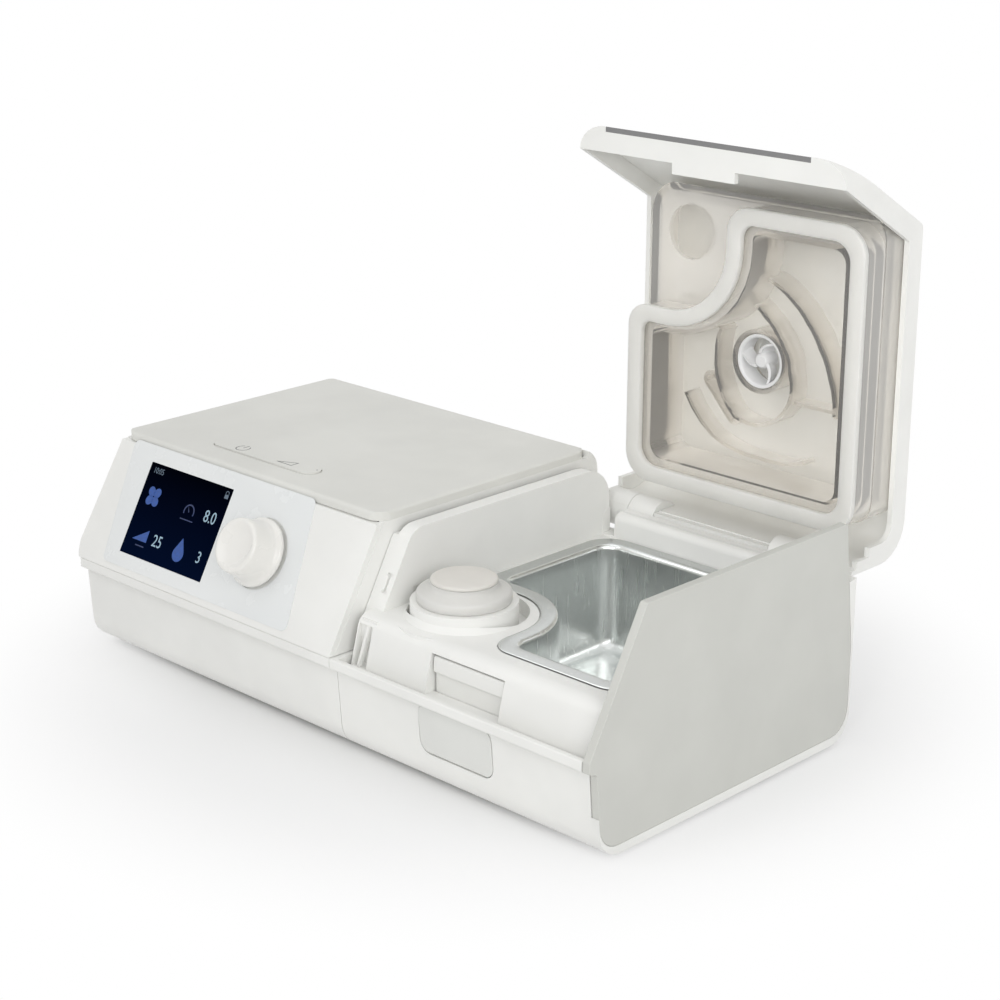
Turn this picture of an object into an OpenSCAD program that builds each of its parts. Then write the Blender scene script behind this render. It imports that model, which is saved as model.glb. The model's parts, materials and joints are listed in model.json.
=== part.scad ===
// Bedside breathing machine: a blower half on the left and a heated humidifier half on the right,
// whose lid stands open. Millimetres, +X to the right, +Y to the back, +Z up.

/* [Case] */
// Width of the case, without the flare of its left end
case_w = 290; // [284:1:298]
// How far the left end leans out at the ledge
end_flare = 3.3; // [2:0.1:4]
// Depth of the case
case_d = 150; // [148:1:154]
// Height of the case over the table
case_h = 91; // [89:1:94]
// Width of the blower half, up to the seam
main_w = 158.5; // [156:0.5:160]
// Height of the ledge under the sloping front
ledge_h = 40.5; // [39:0.5:42]
// Run of the sloping front, from the ledge back to the top
slope_run = 28; // [26:0.5:30]
// Wall thickness of the mouldings
wall = 2.4; // [2:0.1:2.6]
// Gap at the seams
seam = 0.3; // [0.2:0.05:0.4]
// Height of the front lip
lip_h = 4; // [3.5:0.5:6]
// How far the lip stands out over the lower shell
lip_out = 4; // [3:0.5:4.5]
// Radius along the bottom edges
bottom_r = 11; // [8:1:13]
// Radius of the upright corners at the left end
end_r = 7; // [4:1:8]
// Standing height of the feet
foot_h = 1.5; // [1:0.25:2.5]
// Radius of a foot
foot_r = 7; // [5:0.5:9]

/* [Front panel] */
// Thickness of the sloping panel
panel_t = 2.6; // [2:0.1:3]
// Width of the display
screen_w = 53; // [50:1:54]
// Height of the display
screen_h = 39.5; // [36:0.5:40]
// Left edge of the display
screen_x = 24; // [20:1:26]
// Distance of the display from the ledge
screen_s = 8.8; // [7:0.2:10]
// Thickness of the printed film
film_t = 0.25; // [0.2:0.05:0.4]
// Knob centre from the left end
knob_x = 104; // [98:1:108]
// Knob centre from the ledge, along the slope
knob_s = 28; // [26:0.5:31]
// Knob radius at its base
knob_r = 14; // [12:0.5:15]
// Knob radius at its face
knob_face_r = 10.4; // [9:0.2:11]
// How far the knob stands out
knob_h = 14.5; // [12:0.5:17]
// Radius of the knob shaft
shaft_r = 3; // [2.5:0.1:3.5]
// Running clearance of turning fits
running_fit = 0.05; // [0.03:0.01:0.08]
// Travel of the pressed knob
knob_travel = 0.8; // [0.5:0.1:1]

/* [Top key] */
// Length of the two-icon key
key_l = 62; // [50:1:70]
// Width of the key
key_w = 9.5; // [8:0.5:12]
// Centre of the key from the left end
key_x = 73; // [70:1:80]
// Centre of the key from the front
key_y = 44; // [42:1:50]
// Tilt of the key when one end is pressed, in degrees
key_tilt = 1.2; // [0.8:0.1:1.5]

/* [Blower] */
// Blower centre from the left end
blower_x = 72; // [68:1:76]
// Outer radius of the volute
volute_r = 33; // [31:1:34]
// Height of the volute
volute_h = 30; // [28:1:32]
// Radius of the impeller
impeller_r = 24; // [20:0.5:26]
// Radius of the motor
motor_r = 17; // [15:0.5:19]
// Radius of the motor shaft
motor_shaft_r = 2; // [1.5:0.1:2.5]
// Bore radius of the air duct
duct_r = 8; // [7:0.5:8.5]
// Wall of the air duct
duct_wall = 1.6; // [1.2:0.1:1.8]
// Height of the duct centre
duct_z = 27; // [25:1:29]

/* [Air port] */
// Port centre from the seam
port_in = 32.5; // [31.5:0.5:34.5]
// Port centre from the front
port_y = 39.5; // [38.5:0.5:42]
// Radius of the silicone cap
cap_r = 18.1; // [17:0.1:18.5]
// Radius of the top disc of the cap
cap_top_r = 12.6; // [11:0.1:13]
// Height of the cap
cap_h = 9; // [8:0.2:9.4]
// Radius of the collar that carries the cap
collar_r = 20.5; // [19.8:0.1:21]
// Height of the collar over the deck
collar_h = 5.8; // [5:0.2:6]

/* [Deck and pan] */
// Height of the deck
deck_h = 56.6; // [55:0.2:57.4]
// Depth of the rim band below the top
rim_drop = 5.4; // [5:0.1:6]
// Depth of the rim band under the slope
rim_set = 9.2; // [9:0.1:10]
// Width of the rim band
rim_w = 9.2; // [8:0.2:10]
// Height of the back bar of the deck
back_h = 67.6; // [67:0.2:69]
// Left edge of the pan rim from the seam
pan_in = 12.5; // [11.5:0.5:14.5]
// Depth of the trench behind the front lip
trench = 3.2; // [2.6:0.2:3.6]
// Front edge of the pan rim
pan_y0 = 22.4; // [21.8:0.2:24]
// Distance of the pan rim from the back
pan_gap = 8; // [7.5:0.5:12]
// Width of the rolled pan rim
pan_rim = 7; // [6:0.2:8]
// Wall thickness of the pan
pan_t = 0.9; // [0.7:0.1:1.2]
// Depth of the pan under its rim
pan_depth = 45; // [40:1:46]
// Distance from the port centre to the pan rim
port_clear = 28.5; // [27.5:0.5:29.5]

/* [Side plate] */
// Thickness of the side plate
plate_t = 3.4; // [3:0.1:4]
// Width of the shell rim below the plate
plate_rim = 3.4; // [3:0.1:4]

/* [Lid] */
// Thickness of the lid skin
skin = 2.2; // [1.8:0.1:2.4]
// Depth of the lid's side walls
lid_wall = 8.6; // [7.5:0.1:8.8]
// Depth of the lid's front wall
lid_lip = 6.4; // [5.5:0.1:6.6]
// Depth of the latch tab
tab_d = 10.6; // [9.5:0.1:10.8]
// Width of the latch tab
tab_w = 30; // [24:1:33]
// How far the rear face of the closed lid stands out behind the case
skirt_out = 6; // [5.6:0.1:6.4]
// Lowest edge of the rear skirt of the closed lid
skirt_z = 57.4; // [57.2:0.1:58]
// Radius between the lid's top and its skirt
skirt_r = 15; // [10:1:18]
// Distance of the hinge axis behind the case
hinge_out = 8.5; // [8.4:0.1:8.9]
// Depth of the hinge axis below the top
hinge_drop = 27; // [26.5:0.1:27.5]
// Radius of the hinge knuckles
knuckle_r = 7.8; // [7:0.1:8]
// Radius of the hinge pin
pin_r = 1.5; // [1.2:0.1:2]
// Length of a hinge knuckle
knuckle_l = 13.5; // [12:0.5:14]
// How far the closed lid's lower edge stands out before the ledge
lid_out = 3.6; // [3:0.2:4]
// Run of the lid's own slope
lid_run = 29.2; // [28.6:0.2:29.8]
// Length of the rounded ends of the lid's front edge
lid_round = 13; // [10:1:13]

/* [Chamber cover] */
// Wall of the clear cover
cover_t = 2; // [1.6:0.1:2.4]
// Width of the frosted gasket
gasket_w = 6.6; // [6:0.2:7]
// Thickness of the frosted gasket
gasket_t = 2.8; // [2.2:0.2:3.4]
// Centre of the outlet from the seam
outlet_in = 65.5; // [63.5:0.5:67.5]
// Centre of the outlet from the front
outlet_y = 87; // [85:0.5:89]
// Outer radius of the hose outlet, the 22 mm standard
outlet_r = 11; // [10.9:0.05:11.1]
// Wall of the hose outlet
outlet_wall = 1.5; // [1.2:0.1:1.8]
// Length of the hose outlet
outlet_l = 20; // [18:1:22]

/* [Latch] */
// Width of the release button
button_w = 37; // [34:1:38]
// Height of the release button
button_h = 20; // [18:0.5:21]
// Left edge of the release button from the seam
button_in = 44; // [43.5:0.5:44.5]
// Lowest edge of the release button
button_z = 15.5; // [14:0.5:16]
// Travel of the release button
button_travel = 2; // [1:0.2:2.4]

/* [Hidden] */
$fn = 64;

warm_white = [0.92, 0.92, 0.90];
soft_grey = [0.84, 0.84, 0.81];
inside_grey = [0.30, 0.31, 0.33];

slope_rise = case_h - ledge_h;
slope_a = atan2(slope_rise, slope_run);
slope_len = norm([slope_run, slope_rise]);
top_back = case_d - 6;
screen_frame = 4;
skirt_y = case_d + skirt_out;
hinge_y = case_d + hinge_out;
hinge_z = case_h - hinge_drop;
port_x = main_w + port_in;
pan_x0 = main_w + pan_in;
pan_y1 = case_d - pan_gap;
outlet_x = main_w + outlet_in;
button_x = main_w + button_in;
pan_x1 = case_w - plate_t - seam - 2;
pan_top = deck_h + pan_t;
pan_floor = pan_top - pan_depth;
gasket_z = pan_top + seam + 0.1;
cover_z = gasket_z + gasket_t;
cap_base = deck_h + collar_h;
cap_top = cap_base + cap_h;
window_z = cap_top + seam + 0.3;
lid_x0 = main_w + 2 * seam;
lid_x1 = case_w - plate_t - seam;
ceiling_z = case_h - skin - seam;
deck_x0 = main_w + seam;
deck_x1 = case_w - plate_t - seam;
deck_front = 3;
tip_z = ledge_h + 2 * seam;
tab_x = button_x + button_w / 2 - tab_w / 2;
recess_x0 = button_x;
recess_x1 = button_x + button_w;
recess_z1 = 52.4;
riser_y = lid_lip + 0.5;
hook_y = tab_d + 0.5;
hook_top = 51.4;
bar_z = 45.2;
button_r = 5;
lid_a = atan2(case_h - tip_z, lid_run);
tip_d = lid_lip + lid_out;
spring_l = button_travel + 3;
recess_y1 = hook_y + 3 + spring_l;
blower_y = port_y + volute_r - duct_r - duct_wall - 0.6;
outlet_z = case_h + outlet_l;

// ---- outlines -------------------------------------------------------------

function unit(v) = v / norm(v);
function turned(p, a) = [p[0] * cos(a) - p[1] * sin(a), p[0] * sin(a) + p[1] * cos(a)];
function xy(p) = [p[0], p[1]];

// Points along the round that replaces corner b between its neighbours a and c
function round_corner(a, b, c, r, n) =
    let (u = unit(a - b), v = unit(c - b), half = acos(u * v) / 2)
    let (mid = b + unit(u + v) * r / sin(half), start = b + u * r / tan(half) - mid)
    let (side = u[0] * v[1] - u[1] * v[0] > 0 ? -1 : 1)
    [for (i = [0:n]) mid + turned(start, side * (180 - 2 * half) * i / n)];

// Closed outline from [x, y, corner radius] points
function outline(pts, n = 6) =
    let (last = len(pts) - 1)
    [for (i = [0:last])
        let (before = pts[i == 0 ? last : i - 1], here = pts[i], after = pts[i == last ? 0 : i + 1])
        each here[2] <= 0 ? [xy(here)] : round_corner(xy(before), xy(here), xy(after), here[2], n)];

// Outline in the side view (y, z), drawn out from x0 to x1
module side_view(pts, x0, x1, n = 6) {
    translate([x0, 0, 0]) rotate([90, 0, 90]) linear_extrude(x1 - x0) polygon(outline(pts, n));
}

// Outline in plan (x, y), drawn up from z0 to z1
module plan(pts, z0, z1, n = 8) {
    translate([0, 0, z0]) linear_extrude(z1 - z0) polygon(outline(pts, n));
}

// Outline in the front view (x, z), drawn back from y0 to y1
module front_view(pts, y0, y1, n = 6) {
    translate([0, y1, 0]) rotate([90, 0, 0]) linear_extrude(y1 - y0) polygon(outline(pts, n));
}

// Rectangle as outline points
function box_outline(x0, y0, x1, y1, r) = [[x0, y0, r], [x1, y0, r], [x1, y1, r], [x0, y1, r]];

module block(lo, hi) {
    translate(lo) cube(hi - lo);
}

// Cylinder along x
module rod_x(r, x0, x1) {
    translate([x0, 0, 0]) rotate([0, 90, 0]) cylinder(r = r, h = x1 - x0);
}

// Tube along z from z0 to z1
module tube(outer, inner, z0, z1) {
    difference() {
        translate([0, 0, z0]) cylinder(r = outer, h = z1 - z0);
        translate([0, 0, z0 - 1]) cylinder(r = inner, h = z1 - z0 + 2);
    }
}

// Local frame on the sloping front: x along the width, y up the slope, z outwards
module on_slope(x, s, h) {
    translate([x, 0, ledge_h]) rotate([slope_a, 0, 0]) translate([0, s, h]) children();
}

// Point of the side view that lies s up the slope and d under its skin
function slope_point(s, d) = [
    s * cos(slope_a) + d * sin(slope_a),
    ledge_h + s * sin(slope_a) - d * cos(slope_a)
];

// Where the slope and the top meet at depth d under the skin
function bend_point(d) = [slope_run + d * tan(slope_a / 2), case_h - d];

// Point where the slope at depth d passes height z
function slope_y(z, d) = (z - ledge_h) / tan(slope_a) + d / sin(slope_a);

// Half section of the knob, as [radius, height, corner radius]
knob_section = [
    [0, knob_travel + 0.4, 0], [knob_r - 1.2, knob_travel + 0.4, 0.3], [knob_r, knob_travel + 0.9, 0.4],
    [knob_r, knob_travel + 2.4, 0.5], [knob_face_r + 2.1, knob_travel + 3.6, 1],
    [knob_face_r + 0.6, knob_h, 1.6], [knob_face_r - 2.4, knob_h, 0.4], [0, knob_h - 0.7, 0]
];

// How far the knob reaches in front of the ledge
knob_reach = max([for (p = outline(knob_section)) p[0] * cos(slope_a) + p[1] * sin(slope_a)]);
front_y = min(0, knob_s * cos(slope_a) - knob_reach);
depth_mid = (front_y + hinge_y - hinge_z + outlet_z) / 2;

// Everything is drawn with the front ledge at y = 0 and then centred on the opened machine
module placed() {
    translate([(end_flare - case_w) / 2, -depth_mid, 0]) children();
}

// The lid is drawn closed and stands open by a quarter turn about its hinge
module opened() {
    translate([0, hinge_y, hinge_z]) rotate([-90, 0, 0]) translate([0, -hinge_y, -hinge_z]) children();
}

// ---- blower half ----------------------------------------------------------

// Side view of a lower shell, set in by d from its outside and closed at height top
function shell_profile(d, top, back_top) = [
    [lip_out + d, top, 0],
    [lip_out + d, ledge_h - lip_h - 1.5, 1],
    [lip_out + 2.6 + d, foot_h + d, bottom_r - d],
    [case_d - d, foot_h + d, bottom_r - d],
    [case_d - d, back_top, 0]
];

// The front lip, a bar with a rounded nose
function lip_profile() = [
    [0, ledge_h, 0.8], [0, ledge_h - lip_h, 1.2], [lip_out + 1, ledge_h - lip_h - 2, 0],
    [lip_out + wall, ledge_h - lip_h - 2, 0], [lip_out + wall, ledge_h, 0]
];

// The same lip along the left end, in the front view
function end_lip_profile() = [
    [-end_flare, ledge_h, 0.8], [-end_flare, ledge_h - lip_h, 1.2], [0.8, ledge_h - lip_h - 2, 0],
    [wall - 0.1, ledge_h - lip_h - 2, 0], [wall - 0.1, ledge_h, 0]
];

// Plan of the blower half with its rounded left corners, its left end moved out by out
function main_plan(out) = [[-out, 0, end_r], [main_w, 0, 0], [main_w, case_d, 0], [-out, case_d, end_r]];

// Front view of the leaning left end, set in by d
function end_lean(d) = [
    [d - end_flare, ledge_h, 0], [main_w, ledge_h, 0], [main_w, case_h, 1.2], [d, case_h, 2.4]
];

module main_base() {
    color(warm_white) difference() {
        union() {
            intersection() {
                side_view(shell_profile(0, ledge_h, ledge_h), 0, main_w);
                plan(main_plan(0), 0, ledge_h + 1);
                front_view([[0, foot_h, 7], [main_w, foot_h, 0], [main_w, ledge_h, 0], [0, ledge_h, 0]], -1, case_d + 1);
            }
            intersection() {
                union() {
                    side_view(lip_profile(), -end_flare, main_w);
                    front_view(end_lip_profile(), lip_out, case_d + 1);
                }
                plan(main_plan(end_flare), 0, ledge_h + 1);
            }
        }
        side_view(shell_profile(wall, ledge_h + 1, ledge_h + 1), wall, main_w - wall);
        translate([0, port_y, duct_z]) rod_x(duct_r + duct_wall + 1.2, main_w - wall - 1, main_w + 1);
        power_recess(seam);
        foot_pockets(0, main_w);
        for (p = screws_left()) screw_hole(p);
    }
}

module power_recess(gap) {
    block([power_x() - 9 - gap, case_d - wall - 1, 16 - gap], [power_x() + 9 + gap, case_d + 1, 32 + gap]);
}

function power_x() = 34;

// Side view of the upper shell
function upper_profile(d) = [
    concat(slope_point(0.2, d), 0),
    concat(bend_point(d), 3),
    [case_d - d, case_h - d, 10 - d],
    [case_d - d, ledge_h + 0.2, 0]
];

module main_shell() {
    color(warm_white) difference() {
        intersection() {
            side_view(upper_profile(0), -end_flare, main_w);
            plan(main_plan(end_flare), ledge_h, case_h + 1);
            front_view(end_lean(0), -1, case_d + 1);
        }
        side_view(upper_profile(wall), wall, main_w - wall);
        block([-end_flare - 1, -20, 0], [main_w + 1, lip_out + wall, ledge_h + 0.2]);
        on_slope(-end_flare - 1, -5, -panel_t) cube([main_w + end_flare + 2, slope_len + 30, 40]);
        block([-1, slope_run - 4, case_h - cover_plate], [main_w + 1, top_back + seam, case_h + 1]);
        block([filter_x0() - seam, case_d - 8, filter_z - seam],
            [filter_x0() + filter_w + seam, case_d + 1, filter_z + filter_h + seam]);
    }
}

cover_plate = 3.6;

function filter_x0() = main_w - 62.5;

filter_w = 44;
filter_z = ledge_h + 3.5;
filter_h = case_h - 15 - filter_z;
louvre = (filter_h - 6.8) / 6;

module front_panel() {
    color(warm_white) difference() {
        intersection() {
            union() {
                on_slope(0.2 - end_flare, 0.3, -panel_t) cube([main_w + end_flare - 0.4, slope_len - 1, panel_t]);
                knob_boss();
            }
            plan([[0.2 - end_flare, -1, end_r], [main_w, -1, 0], [main_w, case_d, 0], [0.2 - end_flare, case_d, 0]],
                ledge_h + 0.1, case_h - cover_plate - seam);
            front_view(end_lean(0.2), -9, case_d);
        }
        on_slope(screen_x, screen_s, -panel_t - 1) cube([screen_w, screen_h, panel_t + 2]);
        on_slope(knob_x, knob_s, -panel_t - 4) cylinder(r = shaft_r + 2.6, h = panel_t + 6);
        on_slope(knob_x, knob_s, -0.4) cylinder(r = knob_r + 0.5, h = 1);
    }
}

// Ring behind the panel that centres the encoder
module knob_boss() {
    on_slope(knob_x, knob_s, -panel_t - 2) cylinder(r = shaft_r + 5, h = 2);
}

// Printed film, wider at the ledge than at the top
film_outline = [[15.6, 2.9, 3], [132.4, 2.9, 3], [123.1, 55.2, 3], [8.8, 55.2, 3]];

module panel_film() {
    color([0.87, 0.90, 0.92]) difference() {
        on_slope(0, 0, 0) linear_extrude(film_t) polygon(outline(film_outline));
        on_slope(screen_x, screen_s, -1) cube([screen_w, screen_h, 3]);
        on_slope(knob_x, knob_s, -1) cylinder(r = knob_r + 0.5, h = 3);
    }
}

module display_lens() {
    color([0.05, 0.07, 0.18]) on_slope(screen_x + 0.1, screen_s + 0.1, -1.2)
        cube([screen_w - 0.2, screen_h - 0.2, 1.2 + film_t]);
}

module display_module() {
    color(inside_grey) {
        on_slope(screen_x + 0.3, screen_s + 0.3, -panel_t) cube([screen_w - 0.6, screen_h - 0.6, panel_t - 1.2]);
        on_slope(screen_x - screen_frame, screen_s - screen_frame + 1, -panel_t - 3)
            cube([screen_w + 2 * screen_frame, screen_h + 2 * screen_frame - 2, 3]);
    }
}

board_t = 1.6;
board_d = 10.2;
encoder_w = 14;

module panel_board() {
    color([0.10, 0.35, 0.18]) difference() {
        on_slope(screen_x - screen_frame, screen_s - 3, -board_d - board_t)
            cube([knob_x - screen_x + 20, screen_h + 5, board_t]);
        on_slope(knob_x, knob_s, -board_d - board_t - 1) cylinder(r = shaft_r + 1.2, h = board_t + 2);
    }
    color(inside_grey) on_slope(screen_x + 8, screen_s + 6, -board_d) cube([34, 24, board_d - panel_t - 3]);
}

module encoder_body() {
    color([0.62, 0.63, 0.65]) difference() {
        union() {
            on_slope(knob_x - encoder_w / 2, knob_s - encoder_w / 2, -board_d)
                cube([encoder_w, encoder_w, board_d - panel_t - 2]);
            on_slope(knob_x, knob_s, -panel_t - 2) cylinder(r = shaft_r + 2.4, h = panel_t + 1.4);
        }
        on_slope(knob_x, knob_s, -board_d - 1) cylinder(r = rotor_r() + running_fit, h = board_d + 3);
    }
}

function rotor_r() = shaft_r + 1;

// Sleeve that turns in the encoder and lets the shaft slide
module knob_rotor() {
    color([0.80, 0.66, 0.35]) difference() {
        on_slope(knob_x, knob_s, -board_d + 0.2) cylinder(r = rotor_r(), h = board_d - 1.2);
        on_slope(knob_x, knob_s, -board_d - 1) cylinder(r = shaft_r + running_fit, h = board_d + 3);
    }
}

module control_knob() {
    color([0.93, 0.93, 0.91]) on_slope(knob_x, knob_s, 0) {
        rotate_extrude() polygon(outline(knob_section));
        translate([0, 0, -board_d + 1]) cylinder(r = shaft_r, h = board_d + knob_travel);
    }
}

// Plan of the grey top plate
function cover_outline(d) = [
    [d + 0.2, slope_run - 1 + d, 7 - d], [main_w - d - 0.1, slope_run - 1 + d, 7 - d],
    [main_w - d - 0.1, top_back - d, 6 - d], [d + 0.2, top_back - d, 6 - d]
];

module top_cover() {
    color(soft_grey) difference() {
        intersection() {
            plan(cover_outline(0), case_h - cover_plate, case_h + 1);
            side_view([[slope_run - 1.6, case_h - cover_plate, 0], [slope_run - 0.6, case_h, 1.6],
                [top_back, case_h, 1.2], [top_back, case_h - cover_plate, 0]], 0, main_w);
            front_view([[0, case_h - cover_plate, 0], [main_w, case_h - cover_plate, 0], [main_w, case_h, 1.4],
                [0, case_h, 1.6]], 0, case_d);
        }
        translate([key_x, key_y, case_h + key_top - key_under - key_room]) key_pill(seam, cover_plate + 2);
        translate([key_x - 8, key_y - 3.4, case_h - cover_plate - 1]) cube([16, 6.8, 4]);
        translate([key_x, key_y - 5.2, key_axis]) rotate([-90, 0, 0]) cylinder(r = key_pin_r + running_fit, h = 10.4);
        translate([key_x, key_y, case_h - cover_plate - 1]) for (side = [-1, 1])
            translate([side * 20, 0, 0]) cylinder(r = 2.4, h = 6);
    }
}

// Flat bar with round ends, grown by g on every side
module key_pill(g, h) {
    reach = (key_l - key_w) / 2;
    linear_extrude(h) polygon(outline(
        box_outline(-reach - key_w / 2 - g, -key_w / 2 - g, reach + key_w / 2 + g, key_w / 2 + g, key_w / 2 + g - 0.01)));
}

key_top = 0.6;
key_under = 1.05;
key_pin_r = 0.8;
key_axis = case_h - 2.55;
key_room = tan(key_tilt) * key_l / 2 + 0.25;

module key_rocker() {
    color(soft_grey) {
        translate([key_x, key_y, case_h + key_top - key_under]) key_pill(0, key_under);
        translate([key_x, key_y - 5, key_axis]) rotate([-90, 0, 0]) cylinder(r = key_pin_r, h = 10);
        translate([key_x - key_pin_r, key_y - 2.6, key_axis]) cube([2 * key_pin_r, 5.2, 2.3]);
    }
}

// Small board with two dome switches, hung under the top plate
module key_board() {
    z = case_h - cover_plate - 4.2;
    color([0.10, 0.35, 0.18]) translate([key_x - 32, key_y - 7, z]) cube([64, 14, board_t]);
    color(inside_grey) translate([key_x, key_y, z + board_t]) for (side = [-1, 1])
        translate([side * 20, 0, 0]) cylinder(r = 2, h = case_h + key_top - key_under - 0.55 - z - board_t);
    color(inside_grey) for (side = [-1, 1])
        translate([key_x + side * 29 - 2, key_y - 2, z + board_t]) cube([4, 4, 4.2 - board_t]);
}

// ---- blower ---------------------------------------------------------------

volute_z0 = duct_z - duct_r - duct_wall - 1;
mount_at = volute_r + 2.5;
mount_angles = [60, 150, 240, 350];

module at_blower() {
    translate([blower_x, blower_y, 0]) children();
}

// The scroll: a drum with a tangential outlet along x
module volute_form(g) {
    translate([0, 0, volute_z0 + g]) cylinder(r = volute_r - g, h = volute_h - 2 * g);
    translate([0, port_y - blower_y, duct_z]) rod_x(duct_r + duct_wall - g, 0, volute_r + 8);
}

module blower_volute() {
    color([0.75, 0.76, 0.78]) at_blower() difference() {
        union() {
            volute_form(0);
            for (a = mount_angles) rotate(a) translate([mount_at, 0, volute_z0 + 0.4]) cylinder(r = 4, h = 5);
        }
        volute_form(2);
        translate([0, port_y - blower_y, duct_z]) rod_x(duct_r, volute_r, volute_r + 9);
        translate([0, 0, volute_z0 + volute_h - 3]) cylinder(r = volute_r + 9, h = 9);
        translate([0, 0, volute_z0 - 1]) cylinder(r = motor_r - 4, h = 6);
        for (a = mount_angles) rotate(a) translate([mount_at, 0, volute_z0 - 1]) cylinder(r = 1.6, h = 9);
    }
}

module blower_top() {
    z = volute_z0 + volute_h - 3;
    color([0.70, 0.71, 0.73]) at_blower() difference() {
        union() {
            translate([0, 0, z]) cylinder(r = volute_r, h = 3);
            translate([0, 0, z + 3]) cylinder(r = 15, h = 5);
        }
        translate([0, 0, z - 1]) cylinder(r = 12.5, h = 12);
    }
}

impeller_z = volute_z0 + 13.4;

module blower_impeller() {
    color([0.95, 0.95, 0.95]) at_blower() {
        difference() {
            union() {
                translate([0, 0, impeller_z]) cylinder(r = impeller_r, h = 1.4);
                translate([0, 0, impeller_z]) cylinder(r = 5, h = 8);
            }
            translate([0, 0, impeller_z - 1]) cylinder(r = motor_shaft_r + 0.02, h = 12);
        }
        for (i = [0:10]) rotate(i * 360 / 11) translate([4.6, -0.5, impeller_z + 1]) rotate(-12)
            cube([impeller_r - 6.4, 1, 8]);
    }
}

module blower_motor() {
    color([0.55, 0.56, 0.60]) at_blower() {
        translate([0, 0, volute_z0 + 2.3]) cylinder(r = motor_r, h = 10.4);
        translate([0, 0, volute_z0 + 2.3]) cylinder(r = motor_shaft_r, h = 19);
        translate([0, 0, volute_z0 - 4]) cylinder(r = motor_r - 5, h = 6.4);
    }
}

module blower_mounts() {
    color([0.25, 0.25, 0.27]) at_blower() for (a = mount_angles) rotate(a) translate([mount_at, 0, 0]) {
        translate([0, 0, foot_h + wall]) cylinder(r = 4, h = volute_z0 - foot_h - wall);
        translate([0, 0, volute_z0 - 0.1]) cylinder(r = 1.5, h = 6);
    }
}

module main_board() {
    z = foot_h + wall + 4;
    color([0.10, 0.35, 0.18]) translate([wall + 10, case_d - 38, z]) cube([main_w - 2 * wall - 20, 30, board_t]);
    color(inside_grey) {
        for (x = [30:24:main_w - 30]) translate([x + 20, case_d - 30, z + board_t]) cube([10, 10, 4]);
        for (x = [wall + 14, main_w - wall - 14]) for (y = [case_d - 34, case_d - 14.5])
            translate([x, y, foot_h + wall]) cylinder(r = 2.5, h = 4);
    }
}

module power_socket() {
    color([0.12, 0.12, 0.13]) difference() {
        block([power_x() - 9, case_d - 16, 16], [power_x() + 9, case_d - 0.6, 32]);
        block([power_x() - 6, case_d - 12, 19.5], [power_x() + 6, case_d + 1, 28.5]);
    }
}

module inlet_filter() {
    color([0.93, 0.93, 0.93]) block([filter_x0() + 3, case_d - 9, filter_z + 3],
        [filter_x0() + filter_w - 3, case_d - 4, filter_z + filter_h - 3]);
}

module filter_cover() {
    color(warm_white) difference() {
        union() {
            block([filter_x0(), case_d - 2.8, filter_z], [filter_x0() + filter_w, case_d - 0.4, filter_z + filter_h]);
            for (z = [filter_z + 1, filter_z + filter_h - 2.4])
                block([filter_x0() + 4, case_d - 10, z], [filter_x0() + filter_w - 4, case_d - 2, z + 1.4]);
        }
        for (i = [0:5])
            block([filter_x0() + 6, case_d - 4, filter_z + 4.6 + i * louvre],
                [filter_x0() + filter_w - 6, case_d + 1, filter_z + 4.6 + louvre / 2 + i * louvre]);
    }
}

// Pipe from the blower to the port: along x, then up
module air_duct() {
    r = duct_r + duct_wall;
    color([0.80, 0.81, 0.82]) translate([0, port_y, 0]) difference() {
        union() {
            translate([0, 0, duct_z]) rod_x(r, main_w + seam + wall + 1, port_x);
            translate([port_x, 0, duct_z]) sphere(r = r);
            translate([port_x, 0, duct_z]) cylinder(r = r, h = deck_h - 6 - duct_z);
        }
        translate([0, 0, duct_z]) rod_x(duct_r, main_w, port_x);
        translate([port_x, 0, duct_z]) sphere(r = duct_r);
        translate([port_x, 0, duct_z]) cylinder(r = duct_r, h = deck_h);
    }
}

// Rubber sleeve that joins the blower to the pipe through both case walls
module duct_seal() {
    color([0.20, 0.20, 0.22]) translate([0, port_y, duct_z]) difference() {
        rod_x(duct_r + duct_wall, blower_x + volute_r + 8, main_w + seam + wall + 1);
        rod_x(duct_r, blower_x + volute_r + 7, main_w + seam + wall + 2);
    }
}

// ---- humidifier half ------------------------------------------------------

// Outline of the side plate, set in by d along the case edges
function plate_profile(d) = [
    [d, ledge_h, 0.8], concat(bend_point(d), 1.2), [case_d - 7.5 - d, case_h - d, 1.2],
    [case_d - 1.2 - d, 40, 20], [case_d - 1.2 - d, foot_h + plate_rim, bottom_r - 1],
    [lip_out + 2.6 + d, foot_h + plate_rim, bottom_r - 1],
    [lip_out + d, ledge_h - lip_h - 1.5, 1], [d, ledge_h - lip_h, 1]
];

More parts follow.
